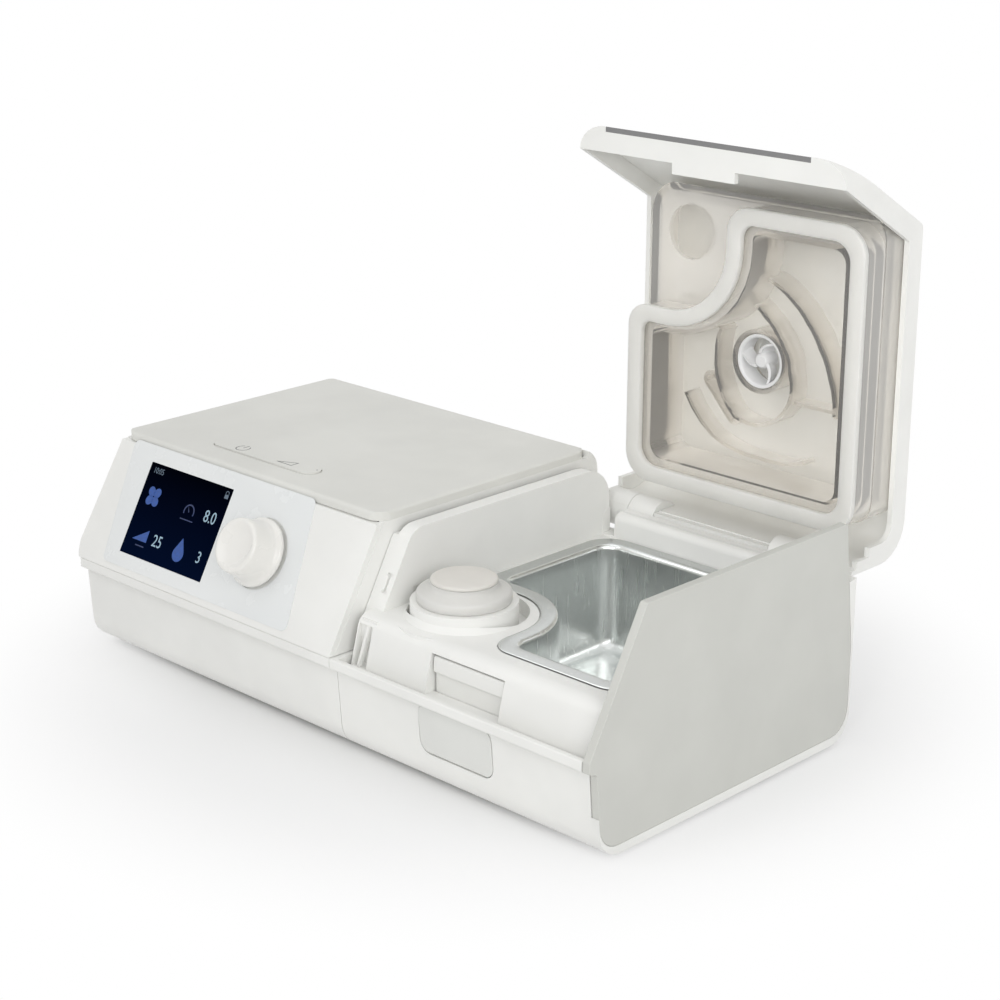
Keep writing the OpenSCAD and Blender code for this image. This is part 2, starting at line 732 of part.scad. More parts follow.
module humidifier_base() {
    color(warm_white) difference() {
        union() {
            difference() {
                side_view(shell_profile(0, ledge_h, back_h), main_w + seam, case_w);
                side_view(shell_profile(wall, case_h, case_h), main_w + seam + wall, case_w - plate_t - seam);
                side_view(plate_profile(-seam / 2), case_w - plate_t - seam, case_w + 1);
            }
            difference() {
                side_view(lip_profile(), main_w + seam, case_w);
                side_view(plate_profile(-seam / 2), case_w - plate_t - seam, case_w + 1);
            }
            base_knuckles();
        }
        block([main_w, lip_out + wall, ledge_h], [case_w - plate_t - seam, case_d - wall, case_h]);
        block([main_w, -1, ledge_h], [main_w + wall + 1, case_d - wall, case_h]);
        translate([0, port_y, duct_z]) rod_x(duct_r + duct_wall + 1.2, main_w, main_w + wall + 2);
        front_view(box_outline(button_x - seam, button_z - seam, button_x + button_w + seam, button_z + button_h + seam,
            button_r + seam), -1, lip_out + 4.6 + wall);
        block([main_w + seam + wall + 0.3, 2.2, ledge_h - trench], [case_w + 1, lip_out + wall + 1, ledge_h + 1]);
        knuckle_gap(main_w);
        translate([0, hinge_y, hinge_z]) rod_x(pin_r, main_w, case_w - plate_t - seam);
        foot_pockets(main_w, case_w);
        for (p = screws_right()) screw_hole(p);
    }
}

// Starts of the four knuckle stations along the hinge
lid_knuckles = [lid_x0 + 1.4, lid_x1 - 12.5 - knuckle_l];
base_stations = [lid_knuckles[0] + knuckle_l + seam, lid_knuckles[1] - seam - knuckle_l];

module base_knuckles() {
    for (x = base_stations) {
        translate([0, hinge_y, hinge_z]) rod_x(knuckle_r, x, x + knuckle_l);
        block([x, case_d - wall, hinge_z - 5], [x + knuckle_l, hinge_y, back_h - 1]);
    }
}

// Room from x0 for the lid's left knuckle, which shows over the deck
module knuckle_gap(x0) {
    block([x0, case_d - wall - 5.6, deck_h + 0.7], [lid_knuckles[0] + knuckle_l + 0.6, case_d + 1, back_h + 30]);
}

module side_plate() {
    color([0.80, 0.80, 0.77]) side_view(plate_profile(0), case_w - plate_t, case_w);
}

// Plan of the pan rim, set in by m: a rectangle with a bay round the port
function pan_outline(m) = [
    [pan_x1 - m, pan_y0 + m, 12 - 0.6 * m],
    [pan_x1 - m, pan_y1 - m, 12 - 0.6 * m],
    [pan_x0 + m, pan_y1 - m, 12 - 0.6 * m],
    [pan_x0 + m, port_y + port_clear + m, 9 - 0.6 * m],
    [port_x + port_clear + m, port_y + port_clear + m, port_clear + m - 0.2],
    [port_x + port_clear + m, pan_y0 + m, 10 - 0.6 * m]
];

// Side view of the rim band, set in by e, down to height z
function band_profile(e, z) = [
    [slope_y(z, rim_set + e), z, 0], [slope_y(case_h - rim_drop - e, rim_set + e), case_h - rim_drop - e, 9],
    [case_d - wall - 2 * seam - e, case_h - rim_drop - e, 14 - e], [case_d - wall - 2 * seam - e, z, 0]
];

// Side view of the deck, its skin at depth e under the deck surfaces
function deck_profile(e) = [
    [riser_y + e, deck_low, 0],
    [slope_y(deck_h - e, deck_front + e), deck_h - e, 6],
    [case_d - wall - 4.9, deck_h - e, 0],
    [case_d - wall - 4.3, e > 0 ? deck_h - e : back_h - 0.5, e > 0 ? 0 : 3.6],
    [case_d - wall - 0.2, e > 0 ? deck_h - e : back_h - 0.5, 0],
    [case_d - wall - 0.2, deck_low, 0]
];

module humidifier_deck() {
    inner_x = deck_x0 + rim_w;
    color([0.91, 0.91, 0.89]) difference() {
        union() {
            difference() {
                side_view(deck_profile(0), deck_x0 + 4, deck_x1 - 0.2);
                side_view(deck_room(), deck_x0 + 4 + wall, deck_x1 - 0.2 - wall);
            }
            difference() {
                side_view(band_profile(0, deck_h - 3.3), deck_x0, inner_x);
                side_view(band_profile(wall, deck_h - 4), deck_x0 - 1, inner_x - wall);
            }
            block([deck_x0 + 5, riser_y + 5.3, deck_low + 0.6], [deck_x0 + 13.6, riser_y + 7.4, deck_h - 1.4]);
            block([deck_x0 + 4.3, riser_y + 0.7, deck_low + 0.3], [deck_x0 + 13.2, riser_y + 6.5, deck_low + 2.6]);
            block([deck_x0, pan_y0 - 3, deck_h - wall - 1.5], [inner_x - 0.7, case_d - wall - 0.9, deck_h - 0.6]);
            translate([port_x, port_y, 0]) tube(collar_r, duct_r + duct_wall + 0.3, deck_h - 8, cap_base);
            translate([port_x, port_y, 0]) tube(collar_r + 6.4, duct_r + duct_wall + 0.3, deck_h - 8.4, deck_h - 0.5);
            collar_foot();
            latch_well();
        }
        plan(pan_outline(-0.3), deck_h - 1, deck_h + 5);
        plan(pan_outline(pan_rim - 1.2), deck_h - 20, deck_h + 5);
        port_moat();
        latch_cut();
        left_notch();
        rim_slot();
        lid_channels();
        knuckle_gap(inner_x + 0.2);
        translate([0, port_y, duct_z]) rod_x(duct_r + duct_wall + 0.6, deck_x0, deck_x0 + 14);
    }
}

deck_low = ledge_h - trench - 1.5;

// Side view of the hollow under the deck
function deck_room() = [
    [riser_y + wall, deck_low - 1, 0], [slope_y(deck_h - wall, deck_front + wall), deck_h - wall, 4],
    [case_d - wall - 5.4, deck_h - wall, 0], [case_d - wall - 5.4, deck_low - 1, 0]
];

// Cone round the foot of the collar
module collar_foot() {
    translate([port_x, port_y, deck_h - 0.4]) difference() {
        cylinder(r1 = collar_r + 2.4, r2 = collar_r - 0.3, h = 3.2);
        translate([0, 0, -1]) cylinder(r = collar_r - 1.6, h = 6);
    }
}

// Crescent let into the deck behind the collar
module port_moat() {
    translate([port_x, port_y, 0]) difference() {
        translate([-1.2, 3.2, deck_h - 6]) cylinder(r = collar_r + 2.8, h = 12);
        translate([0, 0, deck_h - 7]) cylinder(r = collar_r, h = 14);
    }
}

// Walls round the latch recess
module latch_well() {
    intersection() {
        block([recess_x0 - wall, riser_y + 1, deck_low + 0.5], [recess_x1 + wall, recess_y1 + wall, deck_h - 1]);
        side_view(deck_profile(0.6), recess_x0 - wall - 1, recess_x1 + wall + 1);
    }
}

module latch_cut() {
    block([recess_x0, -1, deck_low + 1.4], [recess_x1, recess_y1, recess_z1]);
    block([recess_x0, hook_y + 1, deck_low - 2], [recess_x1, recess_y1, deck_low + 3]);
}

// Notch with a rib at the left end of the deck front
module left_notch() {
    difference() {
        block([deck_x0 + 4.6, -1, deck_low + 1.4], [deck_x0 + 12, riser_y + 5.5, deck_h - 3.4]);
        on_slope(deck_x0 + 7, 1, -9) rotate([0, 0, -7]) cube([1.2, 30, 8.4 - deck_front]);
    }
}

// Small slot in the face of the rim band
module rim_slot() {
    on_slope(deck_x0 + 5.4, slope_len * 0.52, -rim_set - 1.2) {
        cube([1.2, 8, 3]);
        translate([-0.8, 6.8, 0]) cube([2.8, 1.2, 3]);
        translate([-0.8, 0, 0]) cube([2.8, 1.2, 3]);
    }
}

// Room for the side walls of the closed lid
module lid_channels() {
    d = lid_wall + seam;
    over = [
        concat(slope_point(-6, -2), 0), concat(bend_point(-2), 0), [case_d + 4, case_h + 2, 0],
        [case_d + 4, case_h - d, 0], concat(bend_point(d), 0), concat(slope_point(-6, d), 0)
    ];
    side_view(over, lid_x1 - skin - seam, case_w);
    side_view(over, deck_x0 - 1, lid_x0 + skin + seam);
}

module port_seal() {
    color([0.90, 0.91, 0.92]) translate([port_x, port_y, 0]) rotate_extrude() polygon(outline([
        [duct_r + 1, cap_base, 0], [cap_r, cap_base, 0.6], [cap_r, cap_base + 3.4, 1.6],
        [cap_top_r + 0.4, cap_base + 6.6, 1], [cap_top_r + 0.4, cap_top - 1.4, 0.4],
        [duct_r + 1, cap_top - 1.4, 0]
    ]));
}

module port_flap() {
    color([0.86, 0.84, 0.83]) translate([port_x, port_y, 0]) rotate_extrude() polygon(outline([
        [0, cap_top - 1.4, 0], [cap_top_r, cap_top - 1.4, 0], [cap_top_r, cap_top - 0.2, 0.5], [0, cap_top, 0]
    ]));
}

module water_pan() {
    color([0.66, 0.68, 0.68]) difference() {
        union() {
            plan(pan_outline(0), deck_h, pan_top);
            plan(pan_outline(pan_rim - pan_t), pan_floor - pan_t, pan_top);
        }
        plan(pan_outline(pan_rim), pan_floor, pan_top + 1);
    }
}

module heater_plate() {
    color([0.72, 0.73, 0.75]) plan(pan_outline(pan_rim + 2), pan_floor - pan_t - 2.6, pan_floor - pan_t);
}

spring_z0 = foot_h + wall + 1.4;

module heater_tray() {
    color([0.85, 0.85, 0.85]) difference() {
        plan(pan_outline(pan_rim - 1), foot_h + wall, spring_z0 + 2.4);
        plan(pan_outline(pan_rim + 1), spring_z0, spring_z0 + 6);
    }
}

module heater_springs() {
    color([0.6, 0.6, 0.62]) for (x = [pan_x0 + 26, pan_x1 - 24]) for (y = [pan_y0 + 62, pan_y1 - 22])
        translate([x, y, 0]) tube(3, 2, spring_z0, pan_floor - pan_t - 2.6);
}

// ---- latch ----------------------------------------------------------------

module release_button() {
    front = lip_out;
    color(warm_white) {
        intersection() {
            side_view([[front - 0.5, button_z + button_h, 1], [front + 1.6, button_z, 1], [front + 7.4, button_z, 0],
                [front + 7.4, button_z + button_h, 0]], button_x, button_x + button_w);
            front_view(box_outline(button_x, button_z, button_x + button_w, button_z + button_h, button_r), 0, 30);
        }
        block([button_x + 8, front + 7.4, button_z + 4], [button_x + button_w - 8, hook_y + 1.4, button_z + button_h - 4]);
    }
}

module latch_hook() {
    color([0.90, 0.90, 0.88]) {
        block([recess_x0 + 0.8, hook_y + 1.4, button_z + 4], [recess_x1 - 0.8, hook_y + 3, bar_z + 1]);
        side_view([[hook_y, bar_z, 0.5], [hook_y + 3, bar_z, 0], [hook_y + 3, hook_top, 0.8], [hook_y + 0.4, hook_top, 0.8]],
            recess_x0 + 0.8, recess_x1 - 0.8);
    }
}

// Spring behind the hook, drawn as a plain tube
module latch_spring() {
    color([0.6, 0.6, 0.62]) translate([recess_x0 + button_w * 0.7, hook_y + 3, button_z + 7])
        rotate([-90, 0, 0]) tube(2.6, 1.8, 0, spring_l);
}

// ---- lid, drawn closed ----------------------------------------------------

// Side view of the lid outline at depth d, as a path from under its tip to its skirt
function lid_path(d, low) = [
    [lid_y(tip_z - 1.6, d), tip_z - 1.6, 0],
    [lid_run - lid_out + d * tan(lid_a / 2), case_h - d, max(0.6, 3 - d)],
    [skirt_y - d, case_h - d, max(1, skirt_r - d)],
    [skirt_y - d, low, 0]
];

// Where the lid's own slope at depth d passes height z
function lid_y(z, d) = (z - tip_z) / tan(lid_a) - lid_out + d / sin(lid_a);

function reversed(v) = [for (i = [len(v) - 1:-1:0]) v[i]];

module lid_shell() {
    color(warm_white) opened() difference() {
        union() {
            lid_body();
            translate([0, hinge_y, hinge_z]) for (x = lid_knuckles) rod_x(knuckle_r, x, x + knuckle_l);
        }
        translate([0, hinge_y, hinge_z]) rod_x(pin_r + running_fit, main_w, case_w);
    }
}

module lid_body() {
    difference() {
        union() {
            side_view(concat(lid_path(0, skirt_z), reversed(lid_path(skin, skirt_z))), lid_x0, lid_x1);
            for (x = [lid_x0, lid_x1 - skin])
                side_view(concat(lid_path(0, skirt_z), reversed(lid_path(lid_wall, skirt_z))), x, x + skin);
            side_view([[lid_y(tip_z - 1, 0.3), tip_z - 1, 0], [lid_lip, tip_z - 1, 0],
                [lid_lip, tip_z + skin, 0.4], [lid_y(tip_z + skin, 0.3), tip_z + skin, 0]], lid_x0, lid_x1);
            tip_wall(lid_x0, 1);
            tip_wall(lid_x1, -1);
            block([tab_x, 2, tip_z - 1], [tab_x + tab_w, tab_d, tip_z + skin]);
            cover_posts();
        }
        translate([0, hinge_y, hinge_z]) for (x = base_stations)
            rod_x(knuckle_r + 2 * seam, x - seam, x + knuckle_l + seam);
        translate([outlet_x, outlet_y, case_h - 20]) cylinder(r = outlet_r - outlet_wall, h = 30);
        block([lid_x0 - 1, -20, 0], [lid_x1 + 1, 60, tip_z]);
        block([lid_x0 - 1, case_d - wall - 8, 0], [lid_x1 + 1, case_d + 1.2, back_h + 2 * seam]);
        block([lid_x0 - 1, case_d, 0], [lid_x1 + 1, skirt_y - skin + 0.4, 60.5]);
        for (side = [[lid_x0, 1], [lid_x1, -1]])
            plan(tip_corner(side[0], side[1]), tip_z - 2, case_h - 20);
        side_view([[lid_y(tip_z - 3, -3), tip_z - 3, 0], [lid_y(tip_z - 3, trim_t), tip_z - 3, 0],
            [lid_y(tip_z + trim_h, trim_t), tip_z + trim_h, 0], [lid_y(tip_z + trim_h, -3), tip_z + trim_h, 0]],
            trim_x0, trim_x1);
    }
}

// Posts that carry the clear cover
module cover_posts() {
    for (x = [pan_x0 + 7, pan_x1 - 7]) for (y = [pan_y0 + 10, pan_y1 - 10])
        translate([x, y, ceiling_z - 0.3]) cylinder(r = 3, h = 2);
}

// Stations along the rounded end of the lid's front edge, set in by g
function tip_arc(x, side, g) = [
    for (i = [0:8]) [
        x + side * (lid_round - (lid_round - g) * cos(i * 90 / 8)),
        tip_d - lid_out - (tip_d - g) * sin(i * 90 / 8), 0
    ]
];

// Plan of what is left away outside that end
function tip_corner(x, side) = concat(
    [[x - side, tip_d - lid_out, 0]], tip_arc(x, side, 0), [[x + side * lid_round, -lid_out - 1, 0], [x - side, -lid_out - 1, 0]]
);

// Wall that follows the rounded end
module tip_wall(x, side) {
    z1 = tip_z + (tip_d + 0.5 - 0.3 / sin(lid_a)) * tan(lid_a);
    intersection() {
        plan(concat(tip_arc(x, side, -0.6), reversed(tip_arc(x, side, skin + 0.1))), tip_z - 1, z1 + 1);
        side_view([[lid_y(tip_z - 1, 0.3), tip_z - 1, 0], [tip_d - lid_out + 0.5, tip_z - 1, 0],
            [tip_d - lid_out + 0.5, z1, 0]], lid_x0 - 1, lid_x1 + 1);
    }
}

trim_x0 = lid_x0 + 13.2;
trim_x1 = lid_x1 - 16.2;
trim_t = 1.8;
trim_h = 7.4;

// Grey strip let into the lid's front edge
module lid_trim() {
    color([0.48, 0.49, 0.50]) opened() side_view([[lid_y(tip_z, 0), tip_z, 0], [lid_y(tip_z, trim_t), tip_z, 0],
        [lid_y(tip_z + trim_h, trim_t), tip_z + trim_h, 0], [lid_y(tip_z + trim_h, 0), tip_z + trim_h, 0]],
        trim_x0, trim_x1);
}

// Plan of the whole clear cover, port side included, set in by m
function cover_plan(m) = [
    [pan_x0 + m, pan_y0 - 2 + m, max(1, 13 - m)], [pan_x1 - 0.8 - m, pan_y0 - 2 + m, max(1, 10 - m)],
    [pan_x1 - 0.8 - m, pan_y1 - 1 - m, max(1, 10 - m)], [pan_x0 + m, pan_y1 - 1 - m, max(1, 10 - m)]
];

cover_top = ceiling_z - 0.3;

// Room inside the lid, at depth d under its outer skin
module lid_room(d) {
    side_view([concat(slope_point(-4, d), 0), concat(bend_point(d), 2), [skirt_y - d, case_h - d, skirt_r - d],
        [skirt_y - d, ledge_h, 0]], main_w, case_w);
}

// Outside of the clear cover grown inwards by m
module cover_form(m) {
    intersection() {
        union() {
            plan(cover_plan(m), window_z + m, cover_top - m);
            plan(pan_outline(1 + m), m > 0 ? cover_z - 1 : cover_z, window_z + 1 + m);
        }
        lid_room(skin + seam + 0.3 + m);
    }
}

module chamber_cover() {
    color([0.93, 0.92, 0.89, 0.5]) opened() difference() {
        cover_form(0);
        cover_form(cover_t);
        translate([port_x, port_y, window_z - 1]) cylinder(r = cap_top_r - 1.6, h = cover_t + 2);
        translate([outlet_x, outlet_y, window_z - 1]) cylinder(r = outlet_r + 0.2, h = 30);
    }
}

// Walls of the air duct round the outlet, as [angle, radius] stations
outer_wall = [[-95, 35], [-80, 33.7], [-60, 31.6], [-40, 30.8], [-20, 31.8], [0, 35], [22, 41]];
lower_wall = [[60, 43.6], [75, 41.5], [90, 40], [106, 41], [124, 42.6], [152, 43.2]];
inner_wall = [
    [-108, 25.5], [-85, 18.5], [-60, 15], [-34, 13.8], [11, 15.3], [40, 20.3], [66, 24], [90, 26.4], [115, 27.4],
    [145, 23.8], [177, 21.7], [206, 22]
];

// Stations along a wall, three steps to each stretch
function wall_steps(stations) = [
    for (i = [0:len(stations) - 2]) for (k = [0:2]) stations[i] + (stations[i + 1] - stations[i]) * k / 3,
    stations[len(stations) - 1]
];

module duct_wall_form(stations, z0) {
    path = wall_steps(stations);
    inner = [for (p = path) turned([p[1] - insert_t / 2, 0], p[0])];
    outer = [for (i = [len(path) - 1:-1:0]) turned([path[i][1] + insert_t / 2, 0], path[i][0])];
    translate([0, 0, z0]) linear_extrude(insert_top - z0) polygon(concat(inner, outer));
}

insert_t = 1.6;
frame_in = 9.2;
insert_top = cover_top - cover_t;

// Clear insert: a frame round the water's room, and the duct walls on the inside of the cover
module duct_insert() {
    color([0.94, 0.93, 0.90, 0.5]) opened() difference() {
        union() {
            plan(pan_outline(cover_t + 1.3), cover_z + 0.5, cover_z + 2.3);
            plan(pan_outline(frame_in), cover_z + 2, insert_top - 5);
        }
        plan(pan_outline(frame_in + insert_t), cover_z - 1, insert_top + 1);
    }
    color([0.94, 0.93, 0.90, 0.5]) opened() translate([outlet_x, outlet_y, 0]) {
        tube(outlet_r + 2, outlet_r + 0.4, window_z + 4, insert_top);
        duct_wall_form(outer_wall, window_z + 3);
        duct_wall_form(lower_wall, window_z + 6);
        duct_wall_form(inner_wall, window_z + 4.5);
        block([15.5, 13.6, window_z + 7], [pan_x1 - outlet_x - 6.3, 15.2, insert_top]);
        translate([0, 0, window_z + 8]) linear_extrude(insert_top - window_z - 8) difference() {
            lever_form(3.6);
            lever_form(2.2);
        }
    }
}

// Keyhole shape between the duct walls
module lever_form(r) {
    a = turned([29.8, 0], 154);
    b = turned([29.8, 0], 119);
    side = turned(unit(b - a), 90) * r;
    polygon([a + side, a - side, b - side, b + side]);
    translate(a) circle(r = r);
    translate(b) circle(r = r);
}

module cover_gasket() {
    color([0.93, 0.94, 0.94]) opened() difference() {
        plan(pan_outline(0.4), gasket_z, cover_z);
        plan(pan_outline(0.4 + gasket_w), gasket_z - 1, cover_z + 1);
    }
}

module swirl_baffle() {
    ring = outlet_r - 0.1;
    color([0.90, 0.90, 0.90]) opened() translate([outlet_x, outlet_y, window_z + 4.6]) {
        tube(ring, ring - 1.6, 0, 8);
        tube(4, 2.6, 1, 8);
        for (i = [0:2]) rotate(i * 120 + 30) translate([3.2, -0.7, 1]) cube([ring - 4, 1.4, 6]);
    }
}

module outlet_port() {
    color([0.88, 0.88, 0.87]) opened() translate([outlet_x, outlet_y, 0])
        tube(outlet_r, outlet_r - outlet_wall, case_h, outlet_z);
}

module hinge_pins() {
    color([0.75, 0.76, 0.78]) translate([0, hinge_y, hinge_z]) {
        rod_x(pin_r, lid_knuckles[0] + 1, base_stations[0] + knuckle_l - 1);
        rod_x(pin_r, base_stations[1] + 1, lid_knuckles[1] + knuckle_l - 1);
    }
}

// ---- feet and screws ------------------------------------------------------

foot_places = [
    for (x = [22, main_w - 23.5]) for (y = [24, case_d - 22]) [x, y],
    for (x = [main_w + 23.5, case_w - 24]) for (y = [26, case_d - 22]) [x, y]
];

module foot_pockets(x0, x1) {
    for (p = foot_places) if (p[0] > x0 && p[0] < x1)
        translate([p[0], p[1], -1]) cylinder(r = foot_r + 0.2, h = foot_h + 2);
}

module feet() {
    color([0.35, 0.35, 0.37]) for (p = foot_places)
        translate([p[0], p[1], 0]) cylinder(r = foot_r, h = foot_h + 1);
}

function screws_left() = [[12, 60], [main_w - 38.5, 104]];
function screws_right() = [[main_w + 9.5, 90], [pan_x1 - 2.1, 60]];

screw_head_r = 2.8;
screw_r = 1.4;

module screw_hole(p) {
    translate([p[0], p[1], foot_h - 1]) cylinder(r = screw_head_r + 0.2, h = 2.2);
    translate([p[0], p[1], foot_h - 1]) cylinder(r = screw_r + 0.05, h = 12);
}

module base_screws() {
    color([0.5, 0.5, 0.52]) for (p = concat(screws_left(), screws_right())) translate([p[0], p[1], 0]) difference() {
        union() {
            translate([0, 0, foot_h + 0.2]) cylinder(r = screw_head_r, h = 1);
            translate([0, 0, foot_h + 0.2]) cylinder(r = screw_r, h = wall + 3);
        }
        translate([0, 0, foot_h - 1]) cylinder(r = 1.2, h = 1.8, $fn = 6);
    }
}

// ---- nodes ----------------------------------------------------------------

placed() main_base();
placed() main_shell();
placed() front_panel();
placed() panel_film();
placed() display_lens();
placed() display_module();
placed() panel_board();
placed() encoder_body();
placed() knob_rotor();
placed() control_knob();
placed() top_cover();
placed() key_rocker();
placed() key_board();
placed() blower_volute();
placed() blower_top();
placed() blower_impeller();
placed() blower_motor();
placed() blower_mounts();
placed() main_board();
placed() power_socket();
placed() inlet_filter();
placed() filter_cover();
placed() air_duct();
placed() duct_seal();
placed() humidifier_base();
placed() side_plate();
placed() humidifier_deck();
placed() port_seal();
placed() port_flap();
placed() water_pan();
placed() heater_plate();
placed() heater_tray();
placed() heater_springs();
placed() release_button();
placed() latch_hook();
placed() latch_spring();
placed() lid_shell();
placed() lid_trim();
placed() chamber_cover();
placed() duct_insert();
placed() cover_gasket();
placed() swirl_baffle();
placed() outlet_port();
placed() hinge_pins();
placed() feet();
placed() base_screws();
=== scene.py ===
import json
import math

import bmesh
import bpy
from mathutils import Matrix, Vector

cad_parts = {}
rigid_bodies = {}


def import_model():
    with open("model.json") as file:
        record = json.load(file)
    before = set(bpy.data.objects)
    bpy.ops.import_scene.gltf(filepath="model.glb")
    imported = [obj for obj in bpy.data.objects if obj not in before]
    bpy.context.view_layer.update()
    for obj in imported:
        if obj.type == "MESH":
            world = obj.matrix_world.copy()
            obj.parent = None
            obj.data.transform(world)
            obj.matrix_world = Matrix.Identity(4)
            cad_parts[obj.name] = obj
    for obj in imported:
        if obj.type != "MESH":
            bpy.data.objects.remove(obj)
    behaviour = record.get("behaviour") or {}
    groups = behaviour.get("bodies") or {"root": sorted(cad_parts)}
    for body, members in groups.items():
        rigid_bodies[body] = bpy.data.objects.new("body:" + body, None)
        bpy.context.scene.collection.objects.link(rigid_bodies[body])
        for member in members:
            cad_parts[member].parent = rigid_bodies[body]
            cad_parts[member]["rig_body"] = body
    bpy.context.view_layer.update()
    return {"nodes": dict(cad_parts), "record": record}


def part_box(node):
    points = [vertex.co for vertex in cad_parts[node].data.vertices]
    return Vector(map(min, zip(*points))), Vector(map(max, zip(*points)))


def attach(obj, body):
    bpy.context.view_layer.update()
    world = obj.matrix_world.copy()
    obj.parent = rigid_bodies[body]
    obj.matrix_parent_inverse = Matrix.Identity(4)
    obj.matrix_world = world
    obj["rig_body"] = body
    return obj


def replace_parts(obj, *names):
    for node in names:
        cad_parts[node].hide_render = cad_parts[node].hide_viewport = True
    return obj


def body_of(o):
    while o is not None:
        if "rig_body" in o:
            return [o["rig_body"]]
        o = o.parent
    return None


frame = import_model()
nodes = frame["nodes"]
SLOTS = {entry["node"]: entry["material_slot"] for entry in frame["record"]["subparts"]}

# ---- sizes, in millimetres from the left end, the front ledge and the table ----------------

MM = 0.001
LEFT_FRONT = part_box("main_base")[0]
END_FLARE = 3.3

CASE_H = 91.0
LEDGE_H = 40.5
SLOPE_RUN = 28.0
SLOPE = math.atan2(CASE_H - LEDGE_H, SLOPE_RUN)
HINGE_Y, HINGE_Z = 158.5, 64.0

FILM_T = 0.25
KNOB_X, KNOB_S = 104.0, 28.0
KEY_TOP = 91.6

PORT_X, PORT_Y, PORT_CLEAR = 191.0, 39.5, 28.5
PAN_X0, PAN_X1, PAN_Y0, PAN_Y1 = 171.0, 284.3, 22.4, 142.0
OUTLET_X, OUTLET_Y, VANES_Z = 224.0, 87.0, 76.6


def at(x, y, z):
    """A point of the machine, in metres in the row frame."""
    return Vector((LEFT_FRONT.x + (x + END_FLARE) * MM, LEFT_FRONT.y + y * MM, z * MM))


def on_slope(x, s, h):
    """A point s up the sloping front and h out of it."""
    y = s * math.cos(SLOPE) - h * math.sin(SLOPE)
    return at(x, y, LEDGE_H + s * math.sin(SLOPE) + h * math.cos(SLOPE))


def opened(x, y, z):
    """A point of the closed lid, where it is with the lid open."""
    return at(x, HINGE_Y + z - HINGE_Z, HINGE_Z - y + HINGE_Y)


def around_port(x, y, z):
    return at(PORT_X + x, PORT_Y + y, z)


def around_knob(x, y, h):
    return on_slope(KNOB_X + x, KNOB_S + y, h)


def around_outlet(x, y, z):
    return opened(OUTLET_X + x, OUTLET_Y + y, z)


# ---- mesh building ------------------------------------------------------------------------

POLE = 1e-6                     # a radius below this is a pole of a turned form
WELD = 2e-6                     # metres between points that are one point
FLAT_ANGLE = 1.5                # degrees, below which neighbouring faces are one face
EDGE_ANGLE, EDGE_STEPS = 32, 3  # edges sharper than this are rounded, in so many steps
SOFT_CREASE = 38
CORNER_STEPS = 10


def shade_by_angle(bm, sharp):
    """Smooth shading that breaks at open edges and at edges sharper than the given angle."""
    for face in bm.faces:
        face.smooth = True
    for edge in bm.edges:
        edge.smooth = len(edge.link_faces) != 2 or edge.calc_face_angle(0) < math.radians(sharp)


def finish_mesh(mesh, sharp):
    """Outward normals, and smooth shading up to the given angle."""
    bm = bmesh.new()
    bm.from_mesh(mesh)
    bmesh.ops.recalc_face_normals(bm, faces=bm.faces)
    shade_by_angle(bm, sharp)
    bm.to_mesh(mesh)
    bm.free()


def add_object(name, mesh, body, material):
    """Puts a mesh in the scene as a piece of the given body."""
    obj = bpy.data.objects.new(name, mesh)
    bpy.context.scene.collection.objects.link(obj)
    mesh.materials.clear()
    mesh.materials.append(material)
    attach(obj, body)
    return obj


def add_piece(name, verts, faces, body, material, sharp=40):
    mesh = bpy.data.meshes.new(name)
    mesh.from_pydata([tuple(v) for v in verts], [], faces)
    finish_mesh(mesh, sharp)
    return add_object(name, mesh, body, material)


def loft(rings, cap_first=False, cap_last=False, around=False):
    """Vertices and faces of a skin through closed rings that all have the same number of points."""
    count = len(rings[0])
    verts = [p for ring in rings for p in ring]
    faces = []
    pairs = list(zip(range(len(rings) - 1), range(1, len(rings))))
    if around:
        pairs.append((len(rings) - 1, 0))
    for a, b in pairs:
        for i in range(count):
            j = (i + 1) % count
            faces.append((a * count + i, a * count + j, b * count + j, b * count + i))
    if cap_first:
        faces.append(tuple(range(count)))
    if cap_last:
        faces.append(tuple((len(rings) - 1) * count + i for i in reversed(range(count))))
    return verts, faces


def prism(path, low, high, place):
    """A flat form between two heights over a plan path."""
    return loft([[place(x, y, h) for x, y in path] for h in (low, high)], True, True)


def revolve(profile, place, steps=96):
    """Skin of a turned form.

    profile holds (radius, height) from one end to the other, and place maps x, y, z to the frame.
    """
    turns = [2 * math.pi * i / steps for i in range(steps)]
    verts, faces, rows = [], [], []
    for r, h in profile:
        pole = r < POLE
        rows.append((len(verts), pole))
        if pole:
            verts.append(place(0, 0, h))
        else:
            verts += [place(r * math.cos(a), r * math.sin(a), h) for a in turns]
    for (a, pole_a), (b, pole_b) in zip(rows, rows[1:]):
        for i in range(steps):
            j = (i + 1) % steps
            if pole_a and not pole_b:
                faces.append((a, b + i, b + j))
            elif pole_b and not pole_a:
                faces.append((a + i, a + j, b))
            elif not pole_a:
                faces.append((a + i, a + j, b + j, b + i))
    return verts, faces


def round_corner(before, here, after, radius):
    """Points along the arc that rounds one corner of a path."""
    u, v = (before - here).normalized(), (after - here).normalized()
    half = math.acos(max(-1.0, min(1.0, u.dot(v)))) / 2
    mid = here + (u + v).normalized() * radius / math.sin(half)
    start = here + u * radius / math.tan(half) - mid
    turn = -1 if u.x * v.y - u.y * v.x > 0 else 1
    sweep = turn * (math.pi - 2 * half)
    return [mid + Matrix.Rotation(sweep * i / CORNER_STEPS, 2) @ start for i in range(CORNER_STEPS + 1)]


def outline(points):
    """A closed plan outline from (x, y, corner radius) points."""
    flat = [Vector(p[:2]) for p in points]
    path = []
    for i, point in enumerate(points):
        path += round_corner(flat[i - 1], flat[i], flat[(i + 1) % len(flat)], point[2])
    return path


